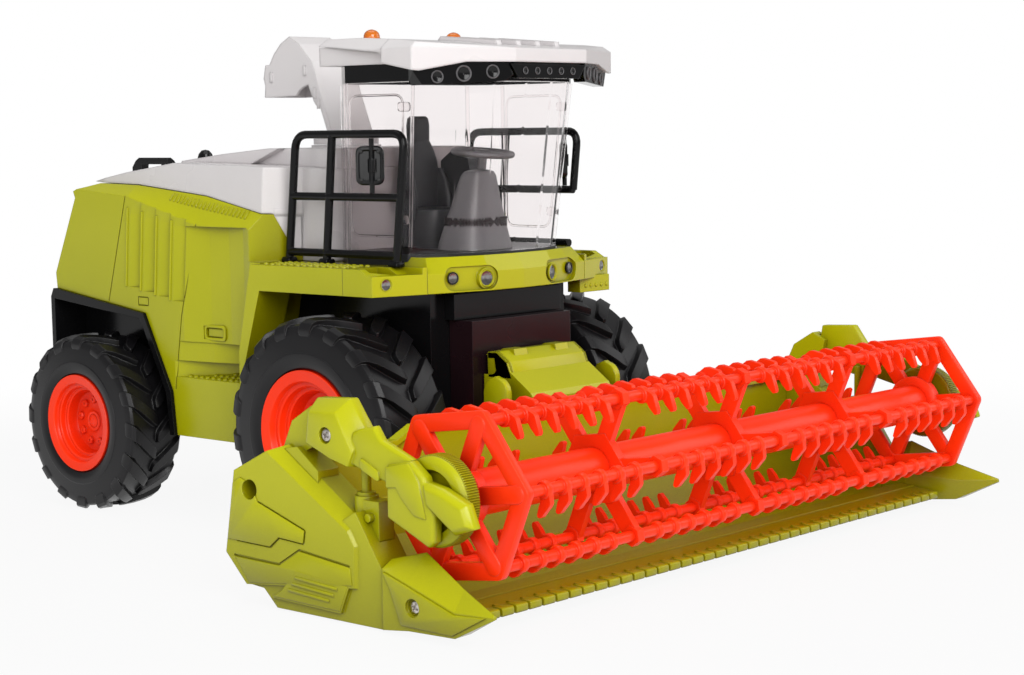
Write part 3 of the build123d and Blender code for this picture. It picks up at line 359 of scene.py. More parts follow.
def skinned(rows, capped=True, unit=mm):
    # closed skin over rows that each hold the same number of points
    bm = bmesh.new()
    loops = [[bm.verts.new([place * unit for place in point]) for point in row] for row in rows]
    count = len(loops[0])
    for one, two in zip(loops, loops[1:]):
        for i in range(count):
            j = (i + 1) % count
            bm.faces.new((one[i], one[j], two[j], two[i]))
    if capped:
        bm.faces.new(list(reversed(loops[0])))
        bm.faces.new(loops[-1])
    bmesh.ops.remove_doubles(bm, verts=bm.verts, dist=1e-6)
    bmesh.ops.recalc_face_normals(bm, faces=bm.faces)
    return asMesh(bm)


def turned(profile, steps, unit=mm):
    # turns a profile of (along X, radius) about the X axis; one that doesn't start on the axis is closed
    rings = [[(along, radius * sin(t), radius * cos(t)) for t in turns(steps)] for along, radius in profile]
    return skinned(rings + rings[:profile[0][1] > 0], capped=False, unit=unit)


wheelLook = {
    "rounds": 96,
    # share of the width in from the outer face, share of the way from rim to tread
    "carcass": [
        (0.07, 0), (0.03, 0.03), (0.006, 0.12), (0, 0.24), (0.002, 0.31), (0.012, 0.325), (0.018, 0.42),
        (0.026, 0.55), (0.034, 0.66), (0.042, 0.76), (0.06, 0.835), (0.095, 0.875), (0.2, 0.87), (0.35, 0.865)],
    # lug from its foot on the side wall to the middle of the tread: in from the face and up, outside and at
    # its root; share of its lead; half widths at the crown and the root as shares of the pitch
    "lugRows": [
        (0.032, 0.655, 0.06, 0.64, 0, 0.16, 0.2), (0.024, 0.7, 0.07, 0.68, 0.01, 0.22, 0.26),
        (0.026, 0.8, 0.09, 0.76, 0.04, 0.22, 0.27), (0.046, 0.9, 0.12, 0.8, 0.1, 0.21, 0.27),
        (0.09, 0.965, 0.16, 0.83, 0.2, 0.2, 0.27), (0.18, 0.992, 0.2, 0.84, 0.38, 0.195, 0.26),
        (0.3, 1, 0.3, 0.84, 0.66, 0.19, 0.26), (0.42, 1, 0.42, 0.84, 0.94, 0.18, 0.25),
        (0.475, 0.992, 0.48, 0.84, 1.06, 0.15, 0.22), (0.495, 0.975, 0.505, 0.84, 1.11, 0.08, 0.16),
    ],
    "lugs": {"front": 18, "rear": 16},
    "lead": {"front": 16, "rear": 17.0},  # degrees that a lug's middle end runs ahead of its foot
    # rim from its seat over the face to the middle and back behind it: shares of the width and the radius
    "rim": [
        (0.06, 0.996), (0.012, 0.996), (0.006, 0.985), (0.01, 0.97), (0.017, 0.86), (0.022, 0.826), (0.034, 0.812),
        (0.085, 0.802), (0.094, 0.792), (0.097, 0.744), (0.108, 0.73), (0.178, 0.72), (0.188, 0.709), (0.191, 0.666),
        (0.202, 0.652), (0.285, 0.642), (0.335, 0.628), (0.352, 0.616), (0.358, 0.6), (0.352, 0.4), (0.346, 0.3),
        (0.34, 0.235), (0.33, 0.215), (0.312, 0.208), (0.306, 0.19), (0.31, 0.15), (0.322, 0.142), (0.324, 0.13),
        (0.312, 0.122), (0.306, 0.105), (0.302, 0), (0.555, 0), (0.555, 0.105), (0.62, 0.105), (0.62, 0.3),
        (0.64, 0.34), (0.64, 0.78), (0.92, 0.88), (0.93, 0.996)],
    "nutCount": 9,
    "nutCircle": 0.445,
    "nutAcross": 0.085,
    "nutHeight": 0.045,
    "nutSeat": 0.354,
    "rimGrip": 0.15,
    # height and size of the rows of a nut, outwards and then down into its bore
    "nut": [(0, 1), (0.72, 1), (1, 0.8), (1, 0.36), (0.75, 0.32)],
}


def tyreMesh(width, rimRadius, radius, lugs, lead):
    depth = radius - rimRadius
    half = [(along * width, rimRadius + up * depth) for along, up in wheelLook["carcass"]]
    carcass = turned(half + [(width - along, up) for along, up in reversed(half)], wheelLook["rounds"], unit=1)
    turn = 2 * pi / lugs
    pair = []
    for side in (0, 1):
        rows = []
        for along, up, rootAlong, rootUp, share, crown, root in wheelLook["lugRows"]:
            ahead = radians(lead) * share + side * turn / 2
            corners = []
            for a, u, w in ((along, up, crown), (rootAlong, rootUp, root)):
                r = rimRadius + u * depth
                x = width - a * width if side else a * width
                ends = [(x, -r * sin(ahead + s * w * turn), r * cos(ahead + s * w * turn)) for s in (-1, 1)]
                corners += ends if not corners else reversed(ends)
            rows.append(corners)
        pair.append(skinned(rows, unit=1))
    return joined(rubber, carcass, ringOf(joined(rubber, *pair), rubber, lugs))


def rimMesh(width, radius):
    look = wheelLook
    profile = [(along * width, up * radius) for along, up in look["rim"]]
    across, tall, seat = look["nutAcross"] * radius, look["nutHeight"] * width, look["nutSeat"] * width
    circle = look["nutCircle"] * radius
    rows = [[(seat - up * tall, across * size * sin(t), circle + across * size * cos(t)) for t in turns(6)]
            for up, size in look["nut"]]
    nuts = ringOf(skinned(rows, unit=1), red, look["nutCount"])
    return joined(red, turned(profile, look["rounds"], unit=1), nuts)


for end in ("front", "rear"):
    low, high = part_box("tyre_" + end + "_right")
    rimLow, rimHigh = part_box("rim_" + end + "_right")
    width, radius = high.x - low.x, (high.z - low.z) / 2
    rimRadius = (rimHigh.z - rimLow.z) / 2 + wheelLook["rimGrip"] * mm
    hub = Matrix.Translation((low.x, (low.y + high.y) / 2, radius))
    tyre = moved(tyreMesh(width, rimRadius, radius, wheelLook["lugs"][end], wheelLook["lead"][end]), hub)
    rim = moved(rimMesh(width, rimRadius), hub)
    for hand in (end + "_right", end + "_left"):
        if hand.endswith("left"):
            tyre, rim = mirrored(tyre), mirrored(rim)
        finishPiece("tread_" + hand, rubber, "wheel_" + hand, tyre, hides=("tyre_" + hand,), smoothTo=28)
        finishPiece("dish_" + hand, red, "wheel_" + hand, rim, hides=("rim_" + hand,), smoothTo=32)
print("wheels turned and lugged")

# reel: round bars with collared tines, six-sided end frames and knurled discs
reelY, reelZ = [place / mm for place in next(j["pos_m"] for j in frame["joints"] if j["name"] == "reel_spin")[1:]]
atReel = at(0, reelY, reelZ)
reelLook = {
    "bars": 6,
    "phase": 7.4,  # degrees that the first bar stands above straight ahead
    "barCircle": 28.6,
    "barRadius": 2.05,
    "barHalf": 147.5,
    "bays": 4,
    "bayLength": 74.7,
    "tinesPerBay": 6,
    "tinePitch": 9.6,
    # collar round the bar: along it and out from its middle
    "collar": [(-1.6, 1.9), (-1.35, 2.9), (-0.8, 3.25), (0.8, 3.25), (1.35, 2.9), (1.6, 1.9)],
    # finger seen from the side, from its bar's middle
    "finger": [
        (-2.2, 1), (-2.8, -0.8), (-2.75, -4.6), (-2.2, -5.6), (1.7, -9.1), (2.6, -9.45), (3.4, -9.2), (3.75, -8.5),
        (2.5, -5.4), (1.35, -3.7), (1.7, -1.8), (2.2, 1)],
    "fingerHalf": 1.05,
    "frameOuter": 149.4,
    "frameDeep": 3.7,
    "frameRadius": 33,
    "frameDepth": 6.2,
    "frameCorner": 1.8,
    "spokeWide": 6.2,
    "discOuter": 161,
    "disc": [
        (-3.9, 0), (-3.9, 2.45), (0.4, 2.45), (0.4, 5), (2.3, 5.4), (2.3, 9.6), (1, 10.4), (0, 10.9), (0, 12.6),
        (0.5, 14.4), (1.3, 15.3), (7.2, 15.3), (7.8, 14.7), (7.8, 6.6), (8.4, 6), (11.4, 6), (11.4, 0)],
    "ribs": 112,
    "ribFrom": 1.6,
    "ribTo": 7.4,
    "ribUp": 0.5,
    "ribRoot": 15.3,
}


def arc(before, here, after, size, steps):
    # a corner, between the points before and after it, cut back to an arc
    before, here, after = Vector(before), Vector(here), Vector(after)
    start, end = [here + (other - here).normalized() * size for other in (before, after)]
    return [tuple(start * (1 - t) ** 2 + here * 2 * t * (1 - t) + end * t * t)
            for t in [k / steps for k in range(steps + 1)]]


def rounded(points, size, steps=3):
    # closed outline with each of its corners an arc
    return [place for i, here in enumerate(points)
            for place in arc(points[i - 1], here, points[(i + 1) % len(points)], size, steps)]


def moulded(mesh, width=0.4):
    # the soft edges of a moulding
    piece = placed("moulding", mesh)
    bevel = piece.modifiers.new("edges", "BEVEL")
    bevel.width, bevel.segments, bevel.limit_method = width * mm, 2, "ANGLE"
    bevel.angle_limit = radians(30)
    bevel.use_clamp_overlap = True
    return settled(piece)


def slab(rows, edge=0.4):
    # moulded block through side outlines of (y, z) that each stand at a place across the toy
    mesh = skinned([[(x, y, z) for y, z in outline] for x, outline in rows])
    return moulded(mesh, edge) if edge else mesh


def sidePlate(outline, lowX, highX, edge=0.4, corner=0.0):
    if corner:
        outline = rounded(outline, corner)
    return slab([(lowX, outline), (highX, outline)], edge)


def midPlate(outline, half, edge):
    return sidePlate(outline, -half, half, edge)


def cutWith(mesh, cutter):
    piece, tool = placed("body", mesh), placed("tool", cutter)
    cut = piece.modifiers.new("cut", "BOOLEAN")
    cut.operation, cut.object, cut.solver = "DIFFERENCE", tool, "EXACT"
    result = settled(piece)
    bpy.data.objects.remove(tool)
    return result


def tineBars():
    look = reelLook
    half, r, bay, pitch = look["barHalf"], look["barRadius"], look["bayLength"], look["tinePitch"]
    tine = joined(red, turned(look["collar"], 14), midPlate(look["finger"], look["fingerHalf"], 0))
    tines = rowOf(tine, red, look["tinesPerBay"], pitch)
    first = -(look["bays"] - 1) / 2 * bay - (look["tinesPerBay"] - 1) / 2 * pitch
    row = moved(rowOf(tines, red, look["bays"], bay), at(first, 0, 0))
    rod = turned([(-half, 0), (-half, r), (half, r), (half, 0)], 20)
    return ringOf(moved(joined(red, row, rod), at(0, -look["barCircle"], 0)), red, look["bars"], -look["phase"])


def endFrame():
    # right-hand end frame: rim of six sides, spokes with rounded ends over it and a hub
    look = reelLook
    outer = -look["frameOuter"]
    inner = outer + look["frameDeep"]

    def hexagon(radius, corner):
        return rounded([(-radius * cos(t), radius * sin(t)) for t in turns(6)], corner)

    rim = sidePlate(hexagon(look["frameRadius"], look["frameCorner"]), outer + 0.5, inner, edge=0)
    hole = sidePlate(hexagon(look["frameRadius"] - look["frameDepth"] * 1.155, 1.2), outer - 3, inner + 3, edge=0)
    far, half = look["barCircle"] - 1.0, look["spokeWide"] / 2
    bend = [(-far - half * sin(pi * k / 8), half * cos(pi * k / 8)) for k in range(9)]
    spoke = sidePlate([(-8.5, half)] + bend + [(-8.5, -half)], outer, inner - 0.4, edge=0.45)
    hub = [(outer - 0.3, 8.0), (outer - 0.3, 11.2), (outer + 0.2, 11.8), (inner + 0.3, 11.8), (inner + 1.2, 10.6),
           (inner + 1.2, 8.0)]
    return joined(red, moulded(cutWith(rim, hole), 0.45), ringOf(spoke, red, 6), turned(hub, 48))


def reelDisc():
    look = reelLook
    outer, rim, high = -look["discOuter"], look["ribRoot"], look["ribUp"]
    disc = turned([(outer + a, r) for a, r in look["disc"]], 64)
    wide = 2 * pi * rim / look["ribs"]
    rows = []
    start, end = look["ribFrom"], look["ribTo"]
    for a, up in ((start, 0.25), (start + 0.4, 1.0), (end - 0.4, 1.0), (end, 0.25)):
        levels = ((-0.32, rim - 0.3), (-0.16, rim + high * up), (0.16, rim + high * up), (0.32, rim - 0.3))
        rows.append([(outer + a, share * wide, level) for share, level in levels])
    return joined(lime, disc, ringOf(skinned(rows), lime, look["ribs"]))


finishPiece("tineBars", red, "reel", moved(tineBars(), atReel), hides=("reel_tine_bars",), smoothTo=40)
finishPair("endFrames", red, "reel", moved(endFrame(), atReel @ spun(-reelLook["phase"], "X")),
           hides=("reel_end_frames",), smoothTo=40)
finishPair("knurledDiscs", lime, "reel", moved(reelDisc(), atReel), hides=("reel_discs",), smoothTo=40)
print("reel built")


def inset(points, size):
    # the outline moved inwards by one distance all round
    ends = list(zip(points, points[1:] + points[:1]))
    inwards = size if sum(a[0] * b[1] - b[0] * a[1] for a, b in ends) > 0 else -size
    lines = []
    for a, b in ends:
        along = (Vector(b) - Vector(a)).normalized()
        lines.append((Vector(a) + Vector((-along.y, along.x)) * inwards, along))
    return [tuple(a + one * ((b - a).cross(two) / one.cross(two)))
            for (a, one), (b, two) in zip(lines[-1:] + lines[:-1], lines)]


def facetPlate(outline, across, size, edge=0.5):
    # plate whose outer face is smaller, with an even slope round it; across is face, end of slope and back
    outer, bend, inner = across
    return slab([(outer, inset(outline, size)), (bend, outline), (inner, outline)], edge)


def crossRod(radius, low, high, y=0.0, z=0.0, steps=32):
    # round bar across the toy
    return moved(turned([(low, 0), (low, radius), (high, radius), (high, 0)], steps), at(0, y, z))


knifeLook = {
    "count": 41,
    "pitch": 7.2,
    "half": 3.05,
    "tooth": [(-163, 5.7), (-163, 7.7), (-162.4, 8.3), (-158.4, 8.5), (-158, 7.4), (-160.2, 5.2), (-162.6, 5.2)],
    "rib": [(-159.4, 8.2), (-156.6, 8.6), (-156, 7.8), (-159.4, 7)],
    "ribHalf": 1.1,
    "bead": (-148.4, 8.75, 0.55),
    "beadHalf": 150.6,
}
look = knifeLook
tooth = joined(lime, midPlate(look["tooth"], look["half"], 0.35), midPlate(look["rib"], look["ribHalf"], 0))
teeth = rowOf(tooth, lime, look["count"], look["pitch"])
teeth = moved(teeth, at(-(look["count"] - 1) / 2 * look["pitch"], 0, 0))
y, z, r = look["bead"]
bead = crossRod(r, -look["beadHalf"], look["beadHalf"], y, z, 12)
finishPiece("cuttingTeeth", lime, "header", teeth, bead, hides=("knife_bar",))

armLook = {
    # the root's outer face and the outline it slopes back to
    "rootFace": [(-97, 73.4), (-110.2, 73.8), (-118.4, 60.2), (-115.8, 55.6), (-107.5, 57.6), (-95.4, 62.2)],
    "root": [(-96, 77.6), (-112.6, 78.4), (-120.4, 68), (-118, 55), (-107.5, 57), (-93, 61.5)],
    "link": [
        (-117, 67.5), (-120.4, 68.9), (-128, 70.6), (-131.4, 66), (-145.5, 60.6), (-136.4, 50.8), (-123.4, 54),
        (-114, 57)],
    "clip": [(-121.5, 59.6), (-130.6, 55.4), (-130.6, 51.6), (-121.5, 55.4)],
    "plate": [(-134.4, 58.2), (-145.6, 60.4), (-152, 55.6), (-156.6, 43), (-155.8, 34), (-153.4, 31.9), (-134.2, 40)],
    "step": [
        (-134.8, 57.6), (-145.4, 59.8), (-150, 54), (-153.2, 41.6), (-147.6, 42.4), (-141.8, 47.8), (-139.4, 51),
        (-134.8, 50.4)],
    "end": [(-150.6, 54.4), (-160, 52.6), (-170.6, 48.4), (-173.8, 40.4), (-165, 37.4), (-152.4, 45.8)],
    "screw": (-105.2, 65.6),
    # across the toy: outer face, end of the slope round it and back; then how far in the slope runs
    "rootAcross": (-166, -160.5, -156.5),
    "linkAcross": ((-164.8, -163.8, -161.5), 0.9),
    "plateAcross": ((-165.9, -165, -161.5), 0.9),
    "endAcross": ((-166.8, -164.8, -161.5), 1.8),
    "stepAcross": (-166.45, -165.4),
    "clipAcross": (-165.5, -163.5),
    "screwRadius": 2.9,
    "screwFloor": -164.6,
    "pinRadius": 2.6,
    "pinAcross": (-165.3, -150),
}


def reelArm():
    look = armLook
    outer, bend, inner = look["rootAcross"]
    root = slab([(outer, look["rootFace"]), (bend, look["root"]), (inner, look["root"])], 0.5)
    root = cutWith(root, crossRod(look["screwRadius"], outer - 4, look["screwFloor"], *look["screw"]))
    pin = crossRod(look["pinRadius"], *look["pinAcross"], reelY, reelZ)
    link, plate, end = [facetPlate(look[name], *look[name + "Across"]) for name in ("link", "plate", "end")]
    step = sidePlate(look["step"], *look["stepAcross"], edge=0.35)
    clip = sidePlate(look["clip"], *look["clipAcross"], edge=0.6, corner=1.6)
    return joined(lime, root, link, clip, cutWith(plate, pin), step, cutWith(end, pin))


arm = reelArm()
for hand, mesh in (("left", mirrored(arm)), ("right", arm)):
    finishPiece("reelArm_" + hand, lime, "header", mesh, hides=("reel_arm_" + hand,))

screwLook = {
    "dome": [(-164.4, 0), (-164.4, 2.3), (-164.8, 2.45), (-165.1, 2.4), (-165.45, 2), (-165.6, 1.2), (-165.65, 0)],
    "slot": 0.36,
    "slotLong": 1.5,
    "places": [(-146.6, 11), (-105.2, 65.6)],
    "slotAcross": (-166.5, -164.9),
    "slotTurn": 24,
}
look = screwLook
wide, long = look["slot"], look["slotLong"]
quarter = [(wide, long), (wide, wide), (long, wide)]
cross = [(s * y, u * z) for s, u in ((1, 1), (1, -1), (-1, -1), (-1, 1)) for y, z in quarter[::s * u]]
head = cutWith(turned(look["dome"][::-1], 28), sidePlate(cross, *look["slotAcross"], edge=0))
(firstY, firstZ), (lastY, lastZ) = look["places"]
head = moved(head, spun(look["slotTurn"], "X"))
screws = moved(rowOf(head, steel, 2, y=lastY - firstY, z=lastZ - firstZ), at(0, firstY, firstZ))
finishPair("headerScrews", steel, "header", screws, smoothTo=30)

shieldLook = {
    "face": -166,
    "window": [
        (-52.9, 23.4), (-56.5, 44.4), (-60.4, 46.6), (-66.6, 44.4), (-69.5, 38.5), (-93.8, 30.9), (-93, 26.2),
        (-80.4, 26.9), (-75.7, 23)],
    "windowHole": (-65.4, 42.6, 3.6),
    "dividerHole": (-146.6, 11, 3.2),
    "divider": [(-132.4, 21.6), (-136, 15.9), (-141, 4.2), (-164.6, 4.1), (-179.6, 12.2), (-165.3, 11.3), (-144, 18)],
    "lower": [(-56.6, 17.2), (-80, 16.8), (-90.7, 23.2), (-116.4, 20.6), (-117.2, 14.4), (-64, 8.4)],
    "vent": [(-80.9, 8), (-89.4, 16.4), (-115, 13.9), (-110.8, 4.4), (-76.4, 5)],
    "bars": [((-88.6, 13.6), (-110.2, 12.3)), ((-86.9, 11.2), (-108.3, 9.9)), ((-84.8, 8.8), (-106, 7.6))],
    "barHalf": 0.6,
    "deep": 0.3,
}


def shieldPanels():
    look = shieldLook
    face, back, half = look["face"], look["face"] + look["deep"], look["barHalf"]
    panels = []
    for name, proud, edge in (("window", 0.6, 0.4), ("divider", 0.9, 0.45), ("lower", 0.35, 0.3)):
        panels.append(sidePlate(look[name], face - proud, back, edge))
        if name + "Hole" in look:
            y, z, r = look[name + "Hole"]
            panels.append(cutWith(panels.pop(), crossRod(r, face - 2, face + 2, y, z)))
    panels.append(facetPlate(look["vent"], (face - 0.3, face - 0.05, back), 0.4, 0.12))
    for (y1, z1), (y2, z2) in look["bars"]:
        ends = [(y1, z1 + half), (y2, z2 + half), (y2, z2 - half), (y1, z1 - half)]
        panels.append(sidePlate(ends, face - 0.8, face - 0.1, edge=0.3))
    return joined(lime, *panels)


finishPair("shieldPanels", lime, "header", shieldPanels())
print("header detailed")


# guard rails and mirrors: round bars bent along a line
def rodAlong(points, radius, corner=0.0, steps=3):
    if corner:
        bends = [place for three in zip(points, points[1:], points[2:]) for place in arc(*three, corner, 6)]
        points = [points[0]] + bends + [points[-1]]
    line = bpy.data.curves.new("line", "CURVE")
    line.dimensions = "3D"
    line.bevel_depth, line.bevel_resolution, line.use_fill_caps = radius * mm, steps, True
    spline = line.splines.new("POLY")
    spline.points.add(len(points) - 1)
    for point, place in zip(spline.points, points):
        point.co = (*[c * mm for c in place], 1)
    return settled(placed("rod", line))


railLook = {
    "x": 54,
    "radius": 1.75,
    "corner": 6.5,
    "footZ": 114.6,
    "lowZ": 119,
    "middleZ": 142.5,
    "topZ": 168.2,
    # y at the foot and at the top bar
    "posts": {"rear": (34, 28), "middle": (11, 6), "front": (-30, -36)},
    # foot pad: height and size of its rows
    "pad": [(0, 1), (1.3, 1), (2.2, 0.8)],
    "padHalf": 2.5,
}


def railPoint(post, z):
    look = railLook
    foot, top = look["posts"][post]
    return (look["x"], foot + (top - foot) * (z - look["footZ"]) / (look["topZ"] - look["footZ"]), z)


def guardRail(fullFront):
    # for the left hand; without a full front post the rail's front end stops at the middle bar
    look = railLook
    r, half, middle, top, foot = [look[label] for label in ("radius", "padHalf", "middleZ", "topZ", "footZ")]
    loop = [railPoint("rear", foot), railPoint("rear", top), railPoint("front", top)]
    rods = [rodAlong(loop + [railPoint("front", foot if fullFront else middle)], r, look["corner"]),
            rodAlong([railPoint("middle", foot), railPoint("middle", top)], r)]
    rods += [rodAlong([railPoint("rear", z), railPoint("front", z)], r) for z in (look["lowZ"], middle)]
    for post in ("rear", "middle", "front") if fullFront else ("rear", "middle"):
        x, y, z = railPoint(post, foot)
        square = ((-half, -half), (half, -half), (half, half), (-half, half))
        rods.append(moulded(skinned([[(x + a * size, y + b * size, z + up) for a, b in square]
                                     for up, size in look["pad"]]), 0.3))
    return joined(black, *rods)


mirrorLook = {
    "plate": [(-5.75, -8), (5.75, -8), (5.75, 8), (-5.75, 8)],
    "corner": 3.2,
    "z": 155.4,
    "turn": 49,
    "y": {"right": -16, "left": -27.2},
    # depth through the plate and size there
    "rows": [(1.3, 0.9), (0.9, 1), (-0.7, 1), (-1.3, 0.93), (-1.35, 0.8), (-0.8, 0.74)],
    "stemRadius": 1.05,
    "clampRadius": 1.75,
}


def sideMirror(y):
    # for the left rail: plate with four studs, stem and clamp
    look = mirrorLook
    x, z = railLook["x"], look["z"]
    low, high = railLook["middleZ"] + railLook["radius"], railLook["topZ"] - railLook["radius"]
    outline = rounded(look["plate"], look["corner"], 4)
    plate = skinned([[(a * size, deep, b * size) for a, b in outline] for deep, size in look["rows"]])
    studs = [moved(crossRod(0.75, 0.6, 1.5, steps=12), at(a, 0, b) @ spun(-90, "Z"))
             for a in (-3.6, 3.6) for b in (-5.8, 5.8)]
    plate = moved(joined(glossBlack, plate, *studs), at(x, y, z) @ spun(look["turn"], "Z"))
    stem = rodAlong([(x, y - 1.0, low), (x, y - 1.0, high)], look["stemRadius"])
    clamp = rodAlong([(x, y - 1.2, z - 2.6), (x, y - 1.2, z + 2.6)], look["clampRadius"])
    return joined(glossBlack, plate, stem, clamp)


leftMirror, rightMirror = sideMirror(mirrorLook["y"]["left"]), mirrored(sideMirror(mirrorLook["y"]["right"]))
finishPiece("railRight", black, "machine", mirrored(guardRail(True)), hides=("guard_rail_right",), smoothTo=40)
finishPiece("railLeft", black, "machine", guardRail(False), hides=("guard_rail_left",), smoothTo=40)
finishPiece("sideMirrors", glossBlack, "machine", leftMirror, rightMirror, hides=("mirrors",))

lampLook = {
    # share of the radius: along (towards the back) and out from the middle
    "ring": [(-0.1, 1), (-0.18, 1.08), (-0.12, 1.16), (0.12, 1.18), (0.12, 0.92), (0.02, 0.92)],
    "bowl": [(0.02, 0.98), (0.46, 0.84), (0.78, 0.58), (0.86, 0.4), (0.5, 0.36), (0.36, 0.26), (0.3, 0)],
    # x, y, z, radius in mm, degrees that it faces outwards, ring slot, for both hands
    "lamps": [
        (20.6, -48.9, 108.6, 3.1, 13.6, lime), (36.6, -45, 109.4, 2.2, 13.6, darkGrey),
        (67.6, -37.5, 108.3, 2.3, 10, lime), (51, -51.9, 190.3, 2.2, 27, midGrey),
        (41, -56.9, 191.6, 2.8, 27, midGrey), (30, -62.5, 192.3, 2.4, 27, midGrey),
    ] + [(7.4 * i, -66.6, 192.8, 1.3, 0, midGrey) for i in (0, 1, 2)],
}
for name, profile in (("lampRings_", lampLook["ring"]), ("lampBowls_", lampLook["bowl"])):
    piles = {}
    for x, y, z, radius, turn, slot in lampLook["lamps"]:
        if name == "lampBowls_":
            slot = glossBlack if slot == midGrey else lampClear
        for side in (-1, 1) if x else (1,):
            shape = turned([(a * radius, r * radius) for a, r in profile], 28)
            piles.setdefault(slot, []).append(moved(shape, at(side * x, y, z) @ spun(90 + side * turn, "Z")))
    for slot, pile in piles.items():
        hides = ("headlamps",) if slot == lampClear else ()
        finishPiece(name + slot.split("_")[0], slot, "machine", *pile, hides=hides)
print("rails, mirrors and lamps in place")

studLook = {
    "radius": 1.25,
    "height": 0.75,
    "pitch": 3.9,
    # distance out, first y, how many; the ledge behind the front wheel slopes down outwards
    "ledge": [(66.3, 51.6, 10), (63.4, 53.5, 6), (60.5, 51.6, 4), (57.8, 53.5, 1)],
    "ledgeSlope": (66.6, 54, 0.285),
    "platform": [(57.6, -17, 13), (61.4, -15, 13), (65.2, -17, 13), (69, -15, 13)],
    "platformZ": 114.5,
    "stud": [(-0.6, 0), (-0.6, 1), (0, 1), (0.55, 0.86), (0.9, 0.5), (1, 0)],
    # radius, height, how many, pitch and first place of the row on the boarding step
    "stepRow": (0.95, 0.5, 5, 3.6, (53.6, -40, 100.3)),
}


def studRow(radius, height, lean, count, step, place):
    # row of small domed studs that stand on their feet
    stud = turned([(a * height, r * radius) for a, r in studLook["stud"]], 10)
    return moved(rowOf(moved(stud, lean @ spun(-90, "Y")), lime, count, *step), at(*place))


def studRows():
    look = studLook
    topZ, fromX, slope = look["ledgeSlope"]
    leaning, upright = Matrix.Rotation(-slope, 4, "Y"), Matrix()
    rows = [(out, y, count, topZ - (out - fromX) * slope, leaning) for out, y, count in look["ledge"]]
    rows += [(out, y, count, look["platformZ"], upright) for out, y, count in look["platform"]]
    return joined(lime, *[studRow(look["radius"], look["height"], lean, count, (0, look["pitch"]), (-out, y, z))
                          for out, y, count, z, lean in rows])


# the boarding step under the left cap has its own row, on its front face
radius, height, count, pitch, place = studLook["stepRow"]
finishPair("treadStuds", lime, "machine", studRows(), studRow(radius, height, spun(90, "X"), count, (pitch,), place))

ribLook = {
    # the sloping shoulder's lower and upper edge at two places along the body
    "from": (50, (68, 128.2), (61.5, 136.4)),
    "to": (99, (68, 135), (61.5, 144)),
    "count": 21,
    "half": 0.6,
    "up": 0.55,
    "low": 0.52,
    "high": 0.97,
}


def ribBand():
    look = ribLook
    (y1, *first), (y2, *last) = look["from"], look["to"]
    low, high = [Vector(edge) for edge in first]
    foot, head = low.lerp(high, look["low"]), low.lerp(high, look["high"])
    away = Vector(last[0]).lerp(Vector(last[1]), look["low"]) - foot
    along = (head - foot).normalized()
    out, half, gaps = Vector((along.y, -along.x)), look["half"], look["count"] - 1
    rows = []
    for share, up in ((0, -0.3), (0.12, look["up"]), (0.88, look["up"]), (1, -0.3)):
        levels = ((-half, -0.5), (-half * 0.6, up), (half * 0.6, up), (half, -0.5))
        corners = [(y, foot.lerp(head, share) + out * level) for y, level in levels]
        rows.append([(-corner.x, y, corner.y) for y, corner in corners])
    band = rowOf(skinned(rows), lime, look["count"], -away.x / gaps, (y2 - y1) / gaps, away.y / gaps)
    return moved(band, at(0, y1, 0))


finishPair("shoulderRibs", lime, "machine", ribBand())

fluteLook = {
    "count": 4,
    "foot": (-67.9, 127.6, 101.4),
    "top": (-67.9, 124.6, 139.4),
    "pitch": 10.15,
    "drop": 1.67,
    "radius": 0.75,
    "share": 0.93,  # of the way up that the ridges run
}
look = fluteLook
foot, top = Vector(look["foot"]), Vector(look["top"])
ridge = rodAlong([foot, foot.lerp(top, look["share"])], look["radius"], steps=2)
ridges = rowOf(ridge, lime, look["count"], y=-look["pitch"], z=-look["drop"])
finishPair("fluteRidges", lime, "machine", ridges)

latchLook = {
    # raised rim round the latch behind the front wheel, from the side, and across the toy
    "outer": [(77.6, 79.6), (77.6, 86.6), (63.1, 86.6), (63.1, 79.6)],
    "inner": [(76, 81), (76, 85.2), (64.7, 85.2), (64.7, 81)],
    "across": (-65.9, -63),
}
outer, inner = rounded(latchLook["outer"], 2.2, 4), rounded(latchLook["inner"], 1.4, 4)
latch = cutWith(sidePlate(outer, *latchLook["across"], edge=0), sidePlate(inner, -70, -60, edge=0))
finishPair("latchRims", lime, "machine", moulded(latch, 0.35))

earLook = {
    "middle": (-66.8, 63.8),
    "radius": 6.4,
    "foot": 45,
    "inner": 33,
    "outer": 36.3,
    "plateau": [
        (-52.4, 75.8), (-52.4, 78.9), (-57.6, 79.2), (-63.4, 75.2), (-66.4, 68), (-58, 68), (-56.4, 72.5),
        (-56, 75.8)],
    "cheek": [(-52.6, 68), (-52.4, 78.9), (-57.6, 79.2), (-63.4, 75.2), (-66.4, 68)],
    "cheekInner": 22.7,
    "half": 25,
}
look = earLook
(y, z), r = look["middle"], look["radius"]
bend = [(y + r * cos(pi * k / 14), z + r * sin(pi * k / 14)) for k in range(15)]
ear = sidePlate(bend + [(y - r, look["foot"]), (y + r, look["foot"])], -look["outer"], -look["inner"], 0.5)
cheek = sidePlate(look["cheek"], look["cheekInner"], look["half"], 0.5)
plateau = midPlate(look["plateau"], look["half"], 0.5)
finishPair("feederEars", lime, "header", joined(lime, cheek, ear), plateau)
print("body and feeder detailed")


# cab: steering console, wheel, seat and the marks in the glass
def superOutline(halfX, halfY, middleY, z, steps, power=3.2):
    # rounded rectangle seen from above
    def bowed(half, share):
        return half * abs(share) ** (2 / power) * (1 if share > 0 else -1)

    return [(bowed(halfX, cos(t)), middleY + bowed(halfY, sin(t)), z) for t in turns(steps)]


def tower(rows, steps, power):
    # skin through rows of height, half width, half depth and middle y
    return skinned([superOutline(halfX, halfY, y, z, steps, power) for z, halfX, halfY, y in rows])


